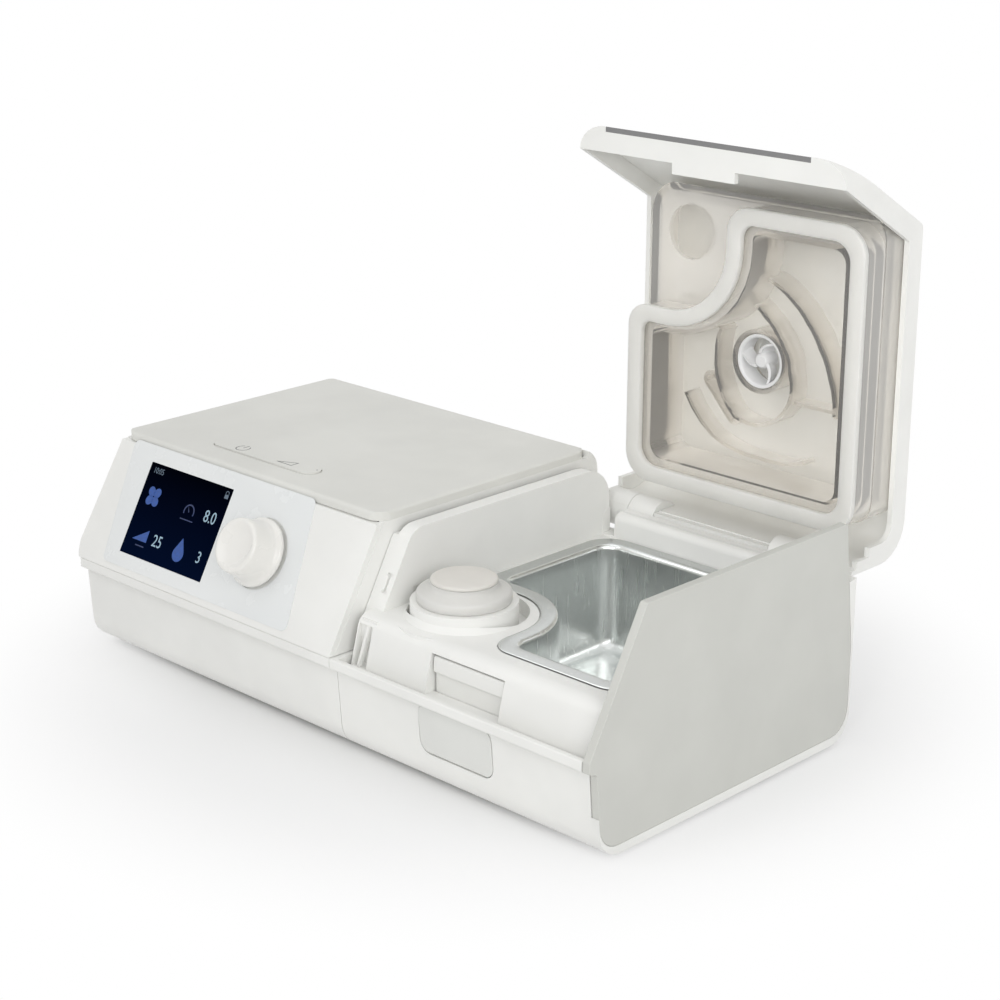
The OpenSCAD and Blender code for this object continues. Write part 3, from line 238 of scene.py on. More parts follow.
def pan_corner(radius, inset, least):
    """A corner radius of the pan's plan, which shrinks a little on the way in."""
    return max(least, radius - 0.6 * inset)


def pan_plan(inset):
    """Plan of the pan, a rectangle with a bay round the air port, set in by the given distance."""
    left, right = PAN_X0 + inset, PAN_X1 - inset
    front, back = PAN_Y0 + inset, PAN_Y1 - inset
    bay_x, bay_y = PORT_X + PORT_CLEAR + inset, PORT_Y + PORT_CLEAR + inset
    outer = pan_corner(12, inset, 2.5)
    return outline([
        (right, front, outer),
        (right, back, outer),
        (left, back, outer),
        (left, bay_y, pan_corner(9, inset, 2.0)),
        (bay_x, bay_y, PORT_CLEAR + inset - 0.2),
        (bay_x, front, pan_corner(10, inset, 2.0)),
    ])


def softened(node, material, width):
    """A copy of a CAD piece with its sharp edges rounded over, which stands for that piece."""
    source = nodes[node]
    bm = bmesh.new()
    bm.from_mesh(source.data)
    bmesh.ops.remove_doubles(bm, verts=bm.verts, dist=WELD)
    bmesh.ops.dissolve_limit(bm, angle_limit=math.radians(FLAT_ANGLE), verts=bm.verts, edges=bm.edges)
    sharp = math.radians(EDGE_ANGLE)
    edges = [e for e in bm.edges if len(e.link_faces) == 2 and e.calc_face_angle(0) > sharp]
    bmesh.ops.bevel(bm, geom=edges, offset=width * MM, offset_type="OFFSET", segments=EDGE_STEPS, profile=0.5,
                    affect="EDGES", clamp_overlap=True, harden_normals=False)
    shade_by_angle(bm, SOFT_CREASE)
    mesh = bpy.data.meshes.new(node + "_soft")
    bm.to_mesh(mesh)
    bm.free()
    obj = add_object(node + "_soft", mesh, body_of(source)[0], material)
    weighted = obj.modifiers.new("face normals", "WEIGHTED_NORMAL")
    weighted.keep_sharp = True
    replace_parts(obj, node)


# ---- materials ----------------------------------------------------------------------------


def shade(r, g, b):
    """Screen colour to the linear colour that the shader takes."""
    return tuple((c / 12.92 if c <= 0.04045 else ((c + 0.055) / 1.055) ** 2.4) for c in (r, g, b)) + (1.0,)


def darker(colour, share):
    return tuple(c * share for c in colour)


def set_inputs(node, values):
    """Sets a node's inputs. An underscore in a key stands for a space in the input's name."""
    for key, value in values.items():
        node.inputs[key.replace("_", " ")].default_value = value
    return node


class Finish:
    """One node material, built up step by step."""

    def __init__(self, name):
        self.material = bpy.data.materials.new(name)
        self.material.use_nodes = True
        self.tree = self.material.node_tree
        self.tree.nodes.clear()
        self.out = self.node("OutputMaterial")
        self.bsdf = self.node("BsdfPrincipled")
        self.join(self.bsdf, "BSDF", self.out, "Surface")
        self.coords = self.node("TexCoord")
        self.normal = None

    def node(self, kind, **values):
        return set_inputs(self.tree.nodes.new("ShaderNode" + kind), values)

    def join(self, a, output, b, entry):
        self.tree.links.new(a.outputs[output], b.inputs[entry])

    def set(self, **values):
        set_inputs(self.bsdf, values)

    def noise(self, scale, detail=2.0, rough=0.5, stretch=None):
        """Noise over the object, finer along each axis by the factors of stretch."""
        noise = self.node("TexNoise", Scale=scale, Detail=detail, Roughness=rough)
        if stretch:
            mapping = self.node("Mapping", Scale=stretch)
            self.join(self.coords, "Object", mapping, "Vector")
            self.join(mapping, "Vector", noise, "Vector")
        else:
            self.join(self.coords, "Object", noise, "Vector")
        return noise

    def ramp(self, source, output, low, high, start=0.0, end=1.0):
        """A colour that turns from low to high between two levels of the source."""
        ramp = self.node("ValToRGB")
        ramp.color_ramp.elements[0].position = start
        ramp.color_ramp.elements[0].color = low
        ramp.color_ramp.elements[1].position = end
        ramp.color_ramp.elements[1].color = high
        self.join(source, output, ramp, "Fac")
        return ramp

    def levels(self, source, output, start, end, low=0.0, high=1.0):
        """A number that goes from low to high between two levels of the source."""
        levels = self.node("MapRange", From_Min=start, From_Max=end, To_Min=low, To_Max=high)
        self.join(source, output, levels, "Value")
        return levels

    def mix(self, source, output, first, second):
        """A shader that turns from the first to the second as the source goes from 0 to 1."""
        mix = self.node("MixShader")
        self.join(source, output, mix, "Fac")
        self.join(first, 0, mix, 1)
        self.join(second, 0, mix, 2)
        return mix

    def colours(self, source, low, high):
        """The surface colour, from low to high over the middle of a noise."""
        self.join(self.ramp(source, "Fac", low, high, 0.35, 0.65), "Color", self.bsdf, "Base Color")

    def roughness(self, source, low, high):
        self.join(self.levels(source, "Fac", 0.3, 0.7, low, high), "Result", self.bsdf, "Roughness")

    def bump(self, source, depth, strength=1.0):
        """Relief of the given depth in millimetres, on top of any that is there."""
        bump = self.node("Bump", Strength=strength, Distance=depth * MM)
        self.join(source, "Fac", bump, "Height")
        if self.normal:
            self.join(self.normal, "Normal", bump, "Normal")
        self.join(bump, "Normal", self.bsdf, "Normal")
        self.normal = bump


def moulded(name, colour, rough=0.34, spread=0.05, grain=2200, grain_depth=0.006, soft=0.0, coat=0.0):
    """Injection-moulded plastic: a faint cloudiness, a fine skin and slightly uneven gloss."""
    f = Finish(name)
    light = tuple(min(1.0, c * 1.012) for c in colour)
    f.colours(f.noise(28, 3), shade(*darker(colour, 0.988)), shade(*light))
    f.roughness(f.noise(60, 4), rough - spread, rough + spread)
    f.bump(f.noise(9, 2), 0.05, 0.25)
    f.bump(f.noise(grain, 2, 0.6), grain_depth)
    f.set(Specular_IOR_Level=0.5)
    if soft:
        f.set(Subsurface_Weight=soft, Subsurface_Radius=(1.0, 0.95, 0.9), Subsurface_Scale=1.2 * MM)
    if coat:
        f.set(Coat_Weight=coat, Coat_Roughness=0.12)
    return f.material


white = moulded("white satin plastic", (0.925, 0.925, 0.912), rough=0.36, soft=0.06)
white_inside = moulded("white deck plastic", (0.93, 0.93, 0.918), rough=0.42, grain=1800,
                       grain_depth=0.008, soft=0.06)
button_white = moulded("button plastic", (0.872, 0.875, 0.86), rough=0.42, grain=1700, grain_depth=0.012)
cover_grey = moulded("fine textured top", (0.872, 0.872, 0.852), rough=0.58, spread=0.04, grain=1500,
                     grain_depth=0.03)
side_grey = moulded("side plate plastic", (0.795, 0.797, 0.775), rough=0.5, grain=1700, grain_depth=0.015)
knob_white = moulded("knob plastic", (0.915, 0.91, 0.892), rough=0.28, soft=0.1, coat=0.25)
inner_grey = moulded("inside grey plastic", (0.68, 0.69, 0.71), rough=0.5)
dark_plastic = moulded("dark inner plastic", (0.13, 0.13, 0.14), rough=0.45, grain_depth=0.012)
trim_grey = moulded("grey trim strip", (0.49, 0.49, 0.49), rough=0.4, grain=1500, grain_depth=0.012)
dark_rubber = moulded("dark rubber", (0.17, 0.17, 0.18), rough=0.75, grain=900, grain_depth=0.02)
rotor_white = moulded("rotor plastic", (0.9, 0.9, 0.9), rough=0.4)


def printed_film():
    """Smooth printed overlay with a thin clear coat."""
    f = Finish("printed panel film")
    f.colours(f.noise(16, 2), shade(0.888, 0.898, 0.898), shade(0.91, 0.918, 0.916))
    f.roughness(f.noise(90, 4), 0.2, 0.3)
    f.bump(f.noise(2600, 2), 0.003)
    f.set(Specular_IOR_Level=0.5, Coat_Weight=0.3, Coat_Roughness=0.15)
    return f.material


def screen_glass():
    """Dark glass over a lit panel, bluer towards the bottom."""
    f = Finish("screen glass")
    apart = f.node("SeparateXYZ")
    f.join(f.coords, "Object", apart, "Vector")
    low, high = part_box("display_lens")
    up = f.levels(apart, "Z", low.z, high.z)
    ramp = f.ramp(up, "Result", shade(0.012, 0.045, 0.13), shade(0.006, 0.010, 0.03))
    f.join(ramp, "Color", f.bsdf, "Base Color")
    f.join(ramp, "Color", f.bsdf, "Emission Color")
    f.set(Emission_Strength=0.35, Specular_IOR_Level=0.0)
    f.roughness(f.noise(120, 3), 0.12, 0.2)
    return f.material


def lit(name, colour, strength):
    """A lit mark on the screen, uneven as backlit ink is."""
    f = Finish(name)
    cloud = f.noise(900, 2)
    f.colours(cloud, shade(*darker(colour, 0.8)), shade(*colour))
    f.roughness(cloud, 0.3, 0.5)
    f.set(Emission_Color=shade(*colour), Emission_Strength=strength)
    return f.material


def ink(name, colour):
    f = Finish(name)
    f.colours(f.noise(1500, 3), shade(*darker(colour, 0.85)), shade(*colour))
    f.roughness(f.noise(800, 2), 0.35, 0.5)
    return f.material


def drawn_steel(name, tone):
    """Deep-drawn stainless steel: fine vertical drawing lines and a soft cloudy gloss."""
    f = Finish(name)
    f.colours(f.noise(35, 3), shade(tone - 0.03, tone - 0.02, tone - 0.025),
              shade(tone, tone + 0.01, tone + 0.005))
    f.roughness(f.noise(1.0, 2, stretch=(1100, 1100, 40)), 0.255, 0.275)
    f.bump(f.noise(9, 1), 0.05, 0.05)
    f.set(Metallic=1.0)
    return f.material


def plain_metal(name, colour, low, high):
    """Plain metal with a faint grain, its roughness between low and high."""
    f = Finish(name)
    f.colours(f.noise(80, 3), shade(*darker(colour, 0.94)), shade(*colour))
    f.roughness(f.noise(200, 4), low, high)
    f.bump(f.noise(1500, 2), 0.004)
    f.set(Metallic=1.0)
    return f.material


def clear_plastic(name, body, face_on, grazing, flow=0.25):
    """Moulded clear plastic: see-through face on, warm and milky where it is seen along its walls.

    face_on and grazing are the shares of the milky body. Shadow rays pass, so light gets inside.
    """
    f = Finish(name)
    f.colours(f.noise(22, 2), shade(*darker(body, 0.97)), shade(*body))
    f.roughness(f.noise(70, 3), 0.04, 0.14)
    f.bump(f.noise(26, 2), flow, 0.35)
    f.set(Specular_IOR_Level=0.3)
    tilt = f.node("LayerWeight", Blend=0.12)
    share = f.levels(tilt, "Facing", 0.02, 0.32, face_on, grazing)
    through = f.node("BsdfTransparent", Color=(0.998, 0.995, 0.988, 1))
    milky = f.mix(share, "Result", through, f.bsdf)
    shine = f.node("Fresnel", IOR=1.42)
    f.join(f.normal, "Normal", shine, "Normal")
    gloss = f.node("BsdfAnisotropic", Color=(1.0, 0.985, 0.96, 1), Roughness=0.05)
    f.join(f.normal, "Normal", gloss, "Normal")
    wet = f.mix(shine, "Fac", milky, gloss)
    lets_light_in = f.mix(f.node("LightPath"), "Is Shadow Ray", wet, through)
    f.join(lets_light_in, "Shader", f.out, "Surface")
    return f.material


def frosted(name, colour, through=0.25, rough=0.42):
    """Frosted silicone, milky and slightly uneven."""
    f = Finish(name)
    f.colours(f.noise(40, 3), shade(*darker(colour, 0.985)), shade(*colour))
    f.roughness(f.noise(150, 3), rough - 0.06, rough + 0.06)
    f.bump(f.noise(1800, 2), 0.012)
    f.set(Subsurface_Weight=0.5, Subsurface_Radius=(1.0, 1.0, 1.0), Subsurface_Scale=2.5 * MM,
          Transmission_Weight=through, IOR=1.41)
    return f.material


def felt():
    f = Finish("filter felt")
    fibres = f.noise(1400, 5, 0.7)
    f.colours(fibres, shade(0.74, 0.74, 0.73), shade(0.93, 0.93, 0.92))
    f.roughness(fibres, 0.85, 1.0)
    f.bump(fibres, 0.12)
    f.set(Sheen_Weight=0.3)
    return f.material


def circuit():
    f = Finish("circuit board")
    traces = f.node("TexVoronoi", Scale=350)
    f.join(f.coords, "Object", traces, "Vector")
    ramp = f.ramp(traces, "Distance", shade(0.06, 0.25, 0.13), shade(0.12, 0.40, 0.20))
    f.join(ramp, "Color", f.bsdf, "Base Color")
    f.roughness(f.noise(300, 3), 0.3, 0.5)
    return f.material


film = printed_film()
glass = screen_glass()
steel = drawn_steel("drawn stainless steel", 0.915)
# The rim is the pan's own drawn steel, made darker: painted shade on the rim.
rim_steel_painted_shade = drawn_steel("rim steel with painted shade", 0.82)
spring_metal = plain_metal("spring steel", (0.72, 0.72, 0.74), 0.25, 0.4)
heater_metal = plain_metal("rolled aluminium", (0.75, 0.76, 0.78), 0.35, 0.5)
motor_metal = plain_metal("motor can", (0.6, 0.61, 0.63), 0.3, 0.45)
bronze = plain_metal("bronze sleeve", (0.78, 0.65, 0.4), 0.3, 0.45)
clear = clear_plastic("clear cover", (0.97, 0.96, 0.94), 0.27, 0.72)
clear_walls = clear_plastic("clear insert", (0.97, 0.955, 0.93), 0.12, 0.85, 0.4)
silicone = frosted("frosted silicone", (0.962, 0.958, 0.94))
cap_top = frosted("frosted cap top", (0.945, 0.93, 0.90), through=0.15)
icon_blue = lit("screen blue", (0.08, 0.24, 0.50), 0.6)
icon_pale = lit("screen digits", (0.50, 0.60, 0.66), 0.6)
icon_dim = lit("screen small marks", (0.30, 0.36, 0.42), 0.5)
icon_navy = lit("screen dim blue", (0.05, 0.13, 0.30), 0.5)
key_ink = ink("key ink", (0.45, 0.45, 0.45))
circuit_green = circuit()
filter_felt = felt()

BY_SLOT = {
    "case_white": white, "cover_grey": cover_grey, "side_grey": side_grey, "panel_film": film,
    "display_glass": glass, "dark_plastic": dark_plastic, "inner_grey": inner_grey,
    "board": circuit_green, "knob_white": knob_white, "bronze": bronze, "rotor_white": rotor_white,
    "motor_metal": motor_metal, "filter_felt": filter_felt, "dark_rubber": dark_rubber,
    "frosted_silicone": silicone, "pan_steel": steel, "heater_metal": heater_metal,
    "spring_steel": spring_metal, "clear_cover": clear, "trim_grey": trim_grey,
}
OWN = {
    "humidifier_deck": white_inside, "release_button": button_white, "port_flap": cap_top,
    "duct_insert": clear_walls,
}


def finish_of(node):
    """A node's own finish where it has one, and otherwise its slot's."""
    return OWN.get(node) or BY_SLOT[SLOTS[node]]


for name, obj in nodes.items():
    obj.data.materials.clear()
    obj.data.materials.append(finish_of(name))

# ---- softened mouldings: the width of each rounded edge ------------------------------------

SOFT_EDGES = {
    "main_base": 0.5, "main_shell": 0.5, "front_panel": 0.35, "top_cover": 0.5, "key_rocker": 0.25,
    "humidifier_base": 0.45, "humidifier_deck": 0.6, "side_plate": 0.35, "lid_shell": 0.45, "lid_trim": 0.2,
    "release_button": 0.5, "latch_hook": 0.3, "outlet_port": 0.35, "filter_cover": 0.3, "power_socket": 0.3,
    "chamber_cover": 0.5, "duct_insert": 0.35,
}
for node, width in SOFT_EDGES.items():
    softened(node, finish_of(node), width)

# ---- water pan and gasket, as (inset from the pan's plan, height) --------------------------

PAN_SECTION = [
    (1.1, 56.62), (0.35, 56.68), (0.0, 56.95), (0.06, 57.25), (0.4, 57.45), (1.0, 57.5), (3.0, 57.42),
    (5.0, 57.4), (5.9, 57.25), (6.5, 56.85), (6.85, 56.2), (7.0, 55.2), (7.1, 50.0), (7.3, 36.0),
    (7.55, 20.0), (7.75, 17.6), (8.3, 15.6), (9.3, 13.9), (10.7, 12.9), (12.4, 12.5), (16.0, 12.5),
    (17.0, 12.2), (18.0, 12.1),
]
RIM_FROM = 57.3                 # faces above this height take the darker rim steel, which is painted shade on the rim
SHEET_T = 0.6
GASKET_SECTION = [
    (0.9, 57.9), (0.5, 58.15), (0.4, 58.6), (0.4, 60.2), (0.6, 60.7), (6.8, 60.7), (7.0, 60.2),
    (7.0, 58.6), (6.8, 58.15), (6.4, 57.9), (3.9, 57.75), (3.5, 57.75),
]


def water_pan():
    rings = [[at(p.x, p.y, z) for p in pan_plan(inset)] for inset, z in PAN_SECTION]
    verts, faces = loft(rings, cap_last=True)
    obj = add_piece("pan_sheet", verts, faces, "base", steel, sharp=60)
    # the rim's faces take the darker steel, which is painted shade
    obj.data.materials.append(rim_steel_painted_shade)
    for face in obj.data.polygons:
        if face.center.z > RIM_FROM * MM:
            face.material_index = 1
    skin = obj.modifiers.new("sheet", "SOLIDIFY")
    skin.thickness = SHEET_T * MM
    skin.offset = -1
    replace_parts(obj, "water_pan")


def gasket():
    rings = [[opened(p.x, p.y, z) for p in pan_plan(inset)] for inset, z in GASKET_SECTION]
    verts, faces = loft(rings, around=True)
    obj = add_piece("gasket_ring", verts, faces, "lid", silicone, sharp=50)
    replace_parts(obj, "cover_gasket")


water_pan()
gasket()

# ---- air port cap and control knob, as (radius, height) ------------------------------------

CAP_SECTION = [
    (9.0, 62.4), (17.4, 62.4), (17.9, 62.6), (18.1, 63.0), (18.1, 65.2), (17.95, 66.0), (17.4, 66.5),
    (16.6, 66.8), (14.2, 67.6), (13.4, 68.1), (13.0, 68.9), (13.0, 70.0), (9.0, 70.0), (9.0, 62.4),
]
FLAP_SECTION = [
    (0.0, 70.0), (12.5, 70.0), (12.75, 70.15), (12.8, 70.5), (12.65, 71.0), (12.2, 71.3), (11.4, 71.4),
    (6.0, 71.36), (0.0, 71.3),
]
KNOB_SECTION = [
    (0.0, -9.2), (3.0, -9.2), (3.0, 1.2), (12.9, 1.2), (13.5, 1.3), (13.9, 1.6), (14.0, 2.1), (14.0, 2.9),
    (13.8, 3.3), (13.3, 3.65), (12.7, 4.1), (12.3, 4.8), (11.9, 7.2), (11.5, 10.4), (11.2, 12.9),
    (11.05, 13.8), (10.75, 14.25), (10.25, 14.48), (9.7, 14.5), (9.1, 14.35), (8.3, 13.95), (6.8, 13.55),
    (4.0, 13.35), (0.0, 13.3),
]
KNOB_STEPS = 128

verts, faces = revolve(CAP_SECTION, around_port)
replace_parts(add_piece("port_cap", verts, faces, "base", silicone), "port_seal")
verts, faces = revolve(FLAP_SECTION, around_port)
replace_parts(add_piece("port_cap_top", verts, faces, "base", cap_top), "port_flap")
verts, faces = revolve(KNOB_SECTION, around_knob, KNOB_STEPS)
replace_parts(add_piece("knob_cap", verts, faces, "knob", knob_white, sharp=50), "control_knob")

# ---- screen marks, placed by x and the distance up the slope -------------------------------

SCREEN_TOP = FILM_T + 0.02
MARK_T = 0.05
DIGIT_WIDTH = 0.86              # digits narrower than the font draws them
LEAF_OUT, LEAF_LONG, LEAF_WIDE = 0.52, 0.46, 0.40
LEAF_STEPS = 36
DROP_TIP = 2.05


def screen_mark(name, path, material):
    verts, faces = prism(path, SCREEN_TOP, SCREEN_TOP + MARK_T, on_slope)
    add_piece(name, verts, faces, "base", material)


def rectangle(x0, y0, x1, y1):
    return [(x0, y0), (x1, y0), (x1, y1), (x0, y1)]


def circle(x, y, r, steps=40, start=0.0, sweep=360.0):
    """Points along a whole circle, or along an arc with both of its ends."""
    count = steps if abs(sweep) >= 360 else steps + 1
    turns = [math.radians(start + sweep * i / steps) for i in range(count)]
    return [(x + r * math.cos(a), y + r * math.sin(a)) for a in turns]


def band(x, y, inner, outer, start, sweep, steps=40):
    """A ring segment."""
    return circle(x, y, outer, steps, start, sweep) + circle(x, y, inner, steps, start + sweep, -sweep)


def number(name, text, x, s, height, material):
    """Plain digits laid on the screen, centred on x and s."""
    curve = bpy.data.curves.new(name + "_text", "FONT")
    curve.body = text
    curve.size = 1.0
    curve.extrude = 0.5
    holder = bpy.data.objects.new(name + "_text", curve)
    bpy.context.scene.collection.objects.link(holder)
    bpy.context.view_layer.update()
    mesh = bpy.data.meshes.new_from_object(holder.evaluated_get(bpy.context.evaluated_depsgraph_get()))
    bpy.data.objects.remove(holder)
    xs = [v.co.x for v in mesh.vertices]
    ys = [v.co.y for v in mesh.vertices]
    scale = height / (max(ys) - min(ys))
    mid_x, mid_y = (max(xs) + min(xs)) / 2, (max(ys) + min(ys)) / 2
    for v in mesh.vertices:
        across = (v.co.x - mid_x) * scale * DIGIT_WIDTH
        up = (v.co.y - mid_y) * scale
        v.co = on_slope(x + across, s + up, SCREEN_TOP + (v.co.z + 0.5) * MARK_T)
    finish_mesh(mesh, 30)
    add_object(name, mesh, "base", material)


def fan_icon(x, s, r):
    """Four leaves on the diagonals."""
    for i in range(4):
        a = math.radians(45 + 90 * i)
        cx, cs = x + LEAF_OUT * r * math.cos(a), s + LEAF_OUT * r * math.sin(a)
        path = []
        for k in range(LEAF_STEPS):
            t = 2 * math.pi * k / LEAF_STEPS
            u, v = LEAF_LONG * r * math.cos(t), LEAF_WIDE * r * math.sin(t)
            path.append((cx + u * math.cos(a) - v * math.sin(a), cs + u * math.sin(a) + v * math.cos(a)))
        screen_mark("fan_blade_%d" % (i + 1), path, icon_blue)


def drop_icon(x, s, r):
    """A round drop with its tip up."""
    turns = [math.radians(a) for a in range(25, -206, -10)]
    path = [(x, s + DROP_TIP * r)] + [(x + r * math.cos(a), s + r * math.sin(a)) for a in turns]
    screen_mark("drop_mark", path, icon_blue)


number("time_digits", "10:05", 30.3, 45.4, 2.5, icon_dim)
number("pressure_digits", "8.0", 69.4, 34.6, 5.0, icon_pale)
number("ramp_digits", "25", 44.2, 17.9, 5.0, icon_pale)
number("humidity_digits", "3", 71.2, 17.9, 4.8, icon_pale)
fan_icon(32.3, 34.7, 4.9)
drop_icon(58.7, 16.2, 3.3)
screen_mark("ramp_mark", [(28.7, 15.7), (37.8, 15.7), (37.6, 20.9)], icon_blue)
screen_mark("ramp_bar", rectangle(31.9, 13.4, 37.4, 13.9), icon_navy)
screen_mark("gauge_arc", band(56.2, 33.6, 2.7, 3.3, -20, 220), icon_navy)
screen_mark("gauge_needle", [(56.0, 33.4), (56.5, 33.7), (54.9, 35.9)], icon_navy)
screen_mark("gauge_bar", rectangle(52.3, 30.0, 60.3, 30.45), icon_navy)
screen_mark("status_ring", band(74.3, 45.9, 0.75, 1.05, 200, -220, 24), icon_dim)
screen_mark("status_body", rectangle(73.2, 43.7, 75.4, 45.4), icon_dim)

# ---- key marks, sunk a little into the key --------------------------------------------------

INK_LOW, INK_HIGH = 0.02, 0.03


def key_mark(name, path):
    verts, faces = prism(path, KEY_TOP - INK_LOW, KEY_TOP + INK_HIGH, at)
    add_piece(name, verts, faces, "key", key_ink)


key_mark("power_ring", band(58.2, 43.8, 2.75, 3.2, 125, 290))
key_mark("power_stem", rectangle(57.97, 43.9, 58.43, 47.3))
key_mark("ramp_base", rectangle(81.4, 42.0, 90.2, 42.42))
key_mark("ramp_end", rectangle(89.78, 42.42, 90.2, 46.4))
key_mark("ramp_slope", [(81.4, 42.42), (82.5, 42.42), (89.78, 45.9), (89.78, 46.4)])
key_mark("key_dot", circle(102.0, 45.6, 0.35, 16))

# ---- hose outlet vanes --------------------------------------------------------------------

VANE_STEPS = 8
VANE_FROM, VANE_TO = 3.0, 9.3   # radii of the hub and the ring
VANE_TWIST, VANE_LEAN, VANE_MID = 0.75, 0.35, 3.5
VANE_EDGES = ((1, 0.6), (1, 6.4), (-1, 6.8), (-1, 1.0))     # side and height of a blade's corners
VANE_RING = [(10.9, 76.6), (10.9, 84.6), (9.4, 84.6), (9.3, 77.4), (9.7, 76.8), (10.2, 76.5), (10.9, 76.6)]
VANE_HUB = [(0.0, 77.0), (2.4, 77.2), (3.1, 77.9), (3.4, 79.4), (3.4, 84.0), (0.0, 84.4)]


def vane(index):
    """A curved blade from the hub to the ring, leaning with the air."""
    rings = []
    base = math.radians(120 * index + 30)
    for i in range(VANE_STEPS + 1):
        t = i / VANE_STEPS
        r = VANE_FROM + (VANE_TO - VANE_FROM) * t
        a = base + VANE_TWIST * t
        mid = Vector((r * math.cos(a), r * math.sin(a)))
        across = Vector((-math.sin(a), math.cos(a)))
        half = across * (0.75 - 0.2 * t)
        ring = []
        for side, z in VANE_EDGES:
            p = mid + half * side + across * (z - VANE_MID) * VANE_LEAN
            ring.append(around_outlet(p.x, p.y, VANES_Z + z))
        rings.append(ring)
    return loft(rings, True, True)


vane_parts = [vane(i) for i in range(3)]
vane_parts.append(revolve(VANE_RING, around_outlet, 72))
vane_parts.append(revolve(VANE_HUB, around_outlet, 48))
verts, faces = [], []
for part_verts, part_faces in vane_parts:
    faces += [tuple(i + len(verts) for i in face) for face in part_faces]
    verts += part_verts
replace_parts(add_piece("outlet_vanes", verts, faces, "lid", rotor_white), "swirl_baffle")

# ---- floor and room -------------------------------------------------------------------------

FLOOR_HALF = 6.0
FLOOR_FADE = (0.1, 0.23)        # metres from the middle, from the shaded floor to plain white
ROOM_LIGHT = 0.62
PLAIN_WHITE = (1, 1, 1, 1)


def background_rays(tree):
    """An output that is 1 for rays that see the background, straight, through glass or in a gloss."""
    path = tree.nodes.new("ShaderNodeLightPath")
    seen = path.outputs["Is Camera Ray"]
    for kind in ("Is Transmission Ray", "Is Glossy Ray"):
        either = tree.nodes.new("ShaderNodeMath")
        either.operation = "MAXIMUM"
        tree.links.new(seen, either.inputs[0])
        tree.links.new(path.outputs[kind], either.inputs[1])
        seen = either.outputs["Value"]
    return seen


def floor():
    """A pale floor that takes the shadow and runs out into plain white."""
    corners = [(x * FLOOR_HALF, y * FLOOR_HALF, 0) for x, y in rectangle(-1, -1, 1, 1)]
    mesh = bpy.data.meshes.new("floor")
    mesh.from_pydata(corners, [], [(0, 1, 2, 3)])
    obj = bpy.data.objects.new("floor", mesh)
    bpy.context.scene.collection.objects.link(obj)
    f = Finish("white floor")
    f.set(Base_Color=(0.93, 0.93, 0.93, 1), Roughness=0.9, Specular_IOR_Level=0.1)
    reach = f.node("VectorMath")
    reach.operation = "LENGTH"
    f.join(f.coords, "Object", reach, 0)
    fade = f.levels(reach, "Value", *FLOOR_FADE)
    fade.interpolation_type = "SMOOTHSTEP"
    both = f.node("Math")
    both.operation = "MULTIPLY"
    f.join(fade, "Result", both, 0)
    f.tree.links.new(background_rays(f.tree), both.inputs[1])
    shown = f.mix(both, "Value", f.bsdf, f.node("Emission", Color=PLAIN_WHITE))
    f.join(shown, "Shader", f.out, "Surface")
    mesh.materials.append(f.material)


def world():
    """Soft light from all around, and plain white where the background itself is seen."""
    room = bpy.data.worlds.new("soft room")
    bpy.context.scene.world = room
    room.use_nodes = True
    tree = room.node_tree
    tree.nodes.clear()
    out = tree.nodes.new("ShaderNodeOutputWorld")
    mix = tree.nodes.new("ShaderNodeMixShader")
    tree.links.new(background_rays(tree), mix.inputs["Fac"])
    for entry, strength in ((1, ROOM_LIGHT), (2, 1.0)):
        level = tree.nodes.new("ShaderNodeBackground")
        set_inputs(level, {"Color": PLAIN_WHITE, "Strength": strength})
        tree.links.new(level.outputs["Background"], mix.inputs[entry])
    tree.links.new(mix.outputs["Shader"], out.inputs["Surface"])


floor()
world()

# ---- lamps: places and sizes in metres, powers in watts -------------------------------------

LID_LIGHT = ((0.5, -0.9, 0.5), (0.085, 0.06, 0.14), 14)
LID_LIGHT_ANGLE, LID_LIGHT_SIZE = 20, 0.16
SOFTBOXES = (
    ("key softbox", (-0.75, -1.35, 1.45), (0.0, 0.0, 0.08), (1.1, 1.1), 5),
    ("top softbox", (-0.1, 0.35, 1.7), (0.0, 0.0, 0.1), (1.2, 0.9), 2),
    ("right fill", (1.5, -0.8, 0.8), (0.1, 0.0, 0.12), (1.0, 1.0), 9),
)


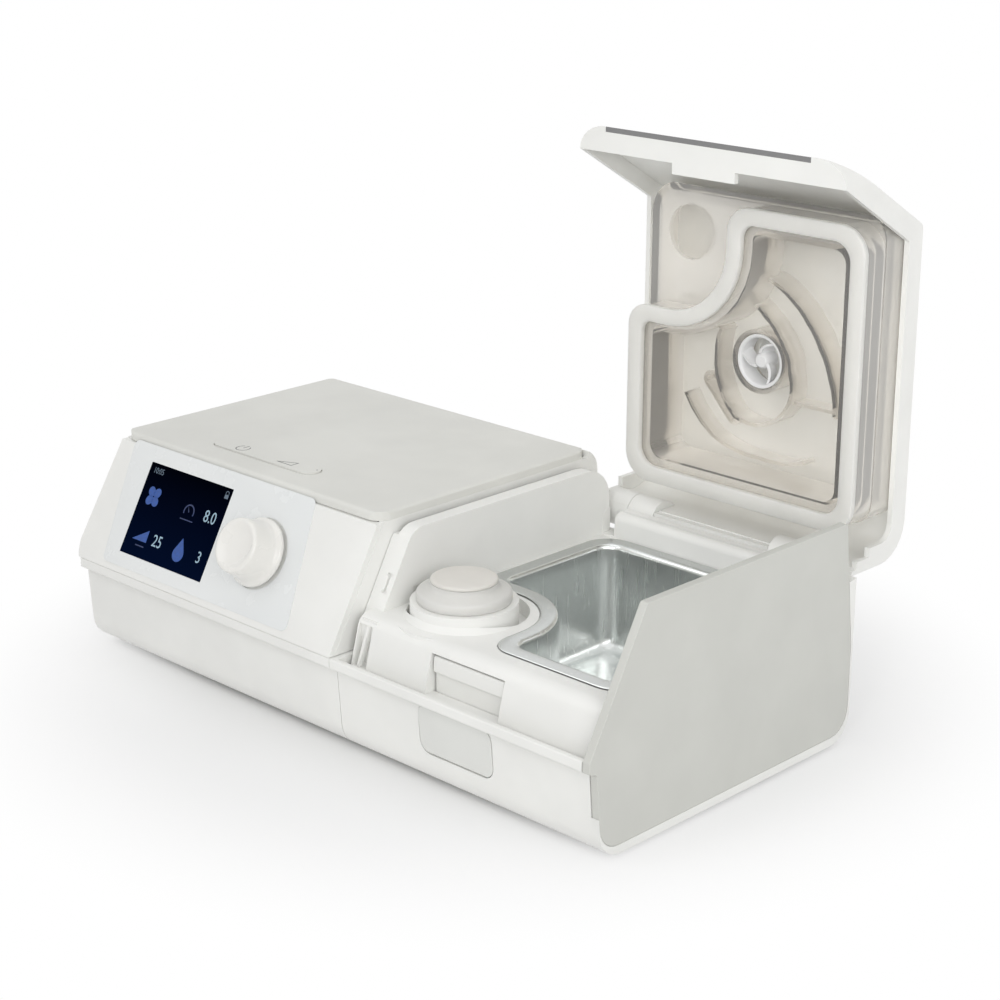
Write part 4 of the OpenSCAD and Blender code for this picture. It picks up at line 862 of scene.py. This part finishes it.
def lamp(name, kind, place, target, power):
    """A lamp turned to its target."""
    light = bpy.data.lights.new(name, kind)
    light.energy = power
    obj = bpy.data.objects.new(name, light)
    obj.location = place
    obj.rotation_euler = (Vector(target) - Vector(place)).to_track_quat("-Z", "Y").to_euler()
    bpy.context.scene.collection.objects.link(obj)
    return light


def lid_light(place, target, power):
    """A soft, wide-edged spot that opens up the inside of the raised lid."""
    light = lamp("lid light", "SPOT", place, target, power)
    light.spot_size = math.radians(LID_LIGHT_ANGLE)
    light.spot_blend = 1.0
    light.shadow_soft_size = LID_LIGHT_SIZE


def softbox(name, place, target, size, power):
    light = lamp(name, "AREA", place, target, power)
    light.shape = "RECTANGLE"
    light.size, light.size_y = size


lid_light(*LID_LIGHT)
for box in SOFTBOXES:
    softbox(*box)

# ---- camera -----------------------------------------------------------------------------------

CAMERA_PLACE = (737.6, -505.2, 360.6)
YAW, PITCH, ROLL = 44.12, 18.56, 0.18
FOCAL, PICTURE = 2210, 1000     # in pixels
SENSOR = 36.0


def camera():
    """The photograph's viewpoint, solved from the machine's straight edges."""
    yaw, pitch, roll = math.radians(YAW), math.radians(PITCH), math.radians(ROLL)
    ahead = Vector((-math.sin(yaw) * math.cos(pitch), math.cos(yaw) * math.cos(pitch), -math.sin(pitch)))
    right = ahead.cross(Vector((0, 0, 1))).normalized()
    up = right.cross(ahead)
    right, up = (math.cos(roll) * right + math.sin(roll) * up,
                 -math.sin(roll) * right + math.cos(roll) * up)
    cam = bpy.data.cameras.new("photograph view")
    cam.sensor_width = SENSOR
    cam.lens = FOCAL / PICTURE * SENSOR
    cam.clip_start = 0.05
    obj = bpy.data.objects.new("photograph view", cam)
    obj.matrix_world = Matrix((
        (right.x, up.x, -ahead.x, 0),
        (right.y, up.y, -ahead.y, 0),
        (right.z, up.z, -ahead.z, 0),
        (0, 0, 0, 1),
    ))
    obj.location = at(*CAMERA_PLACE)
    bpy.context.scene.collection.objects.link(obj)
    bpy.context.scene.camera = obj


camera()
bpy.context.scene.view_settings.view_transform = "Standard"
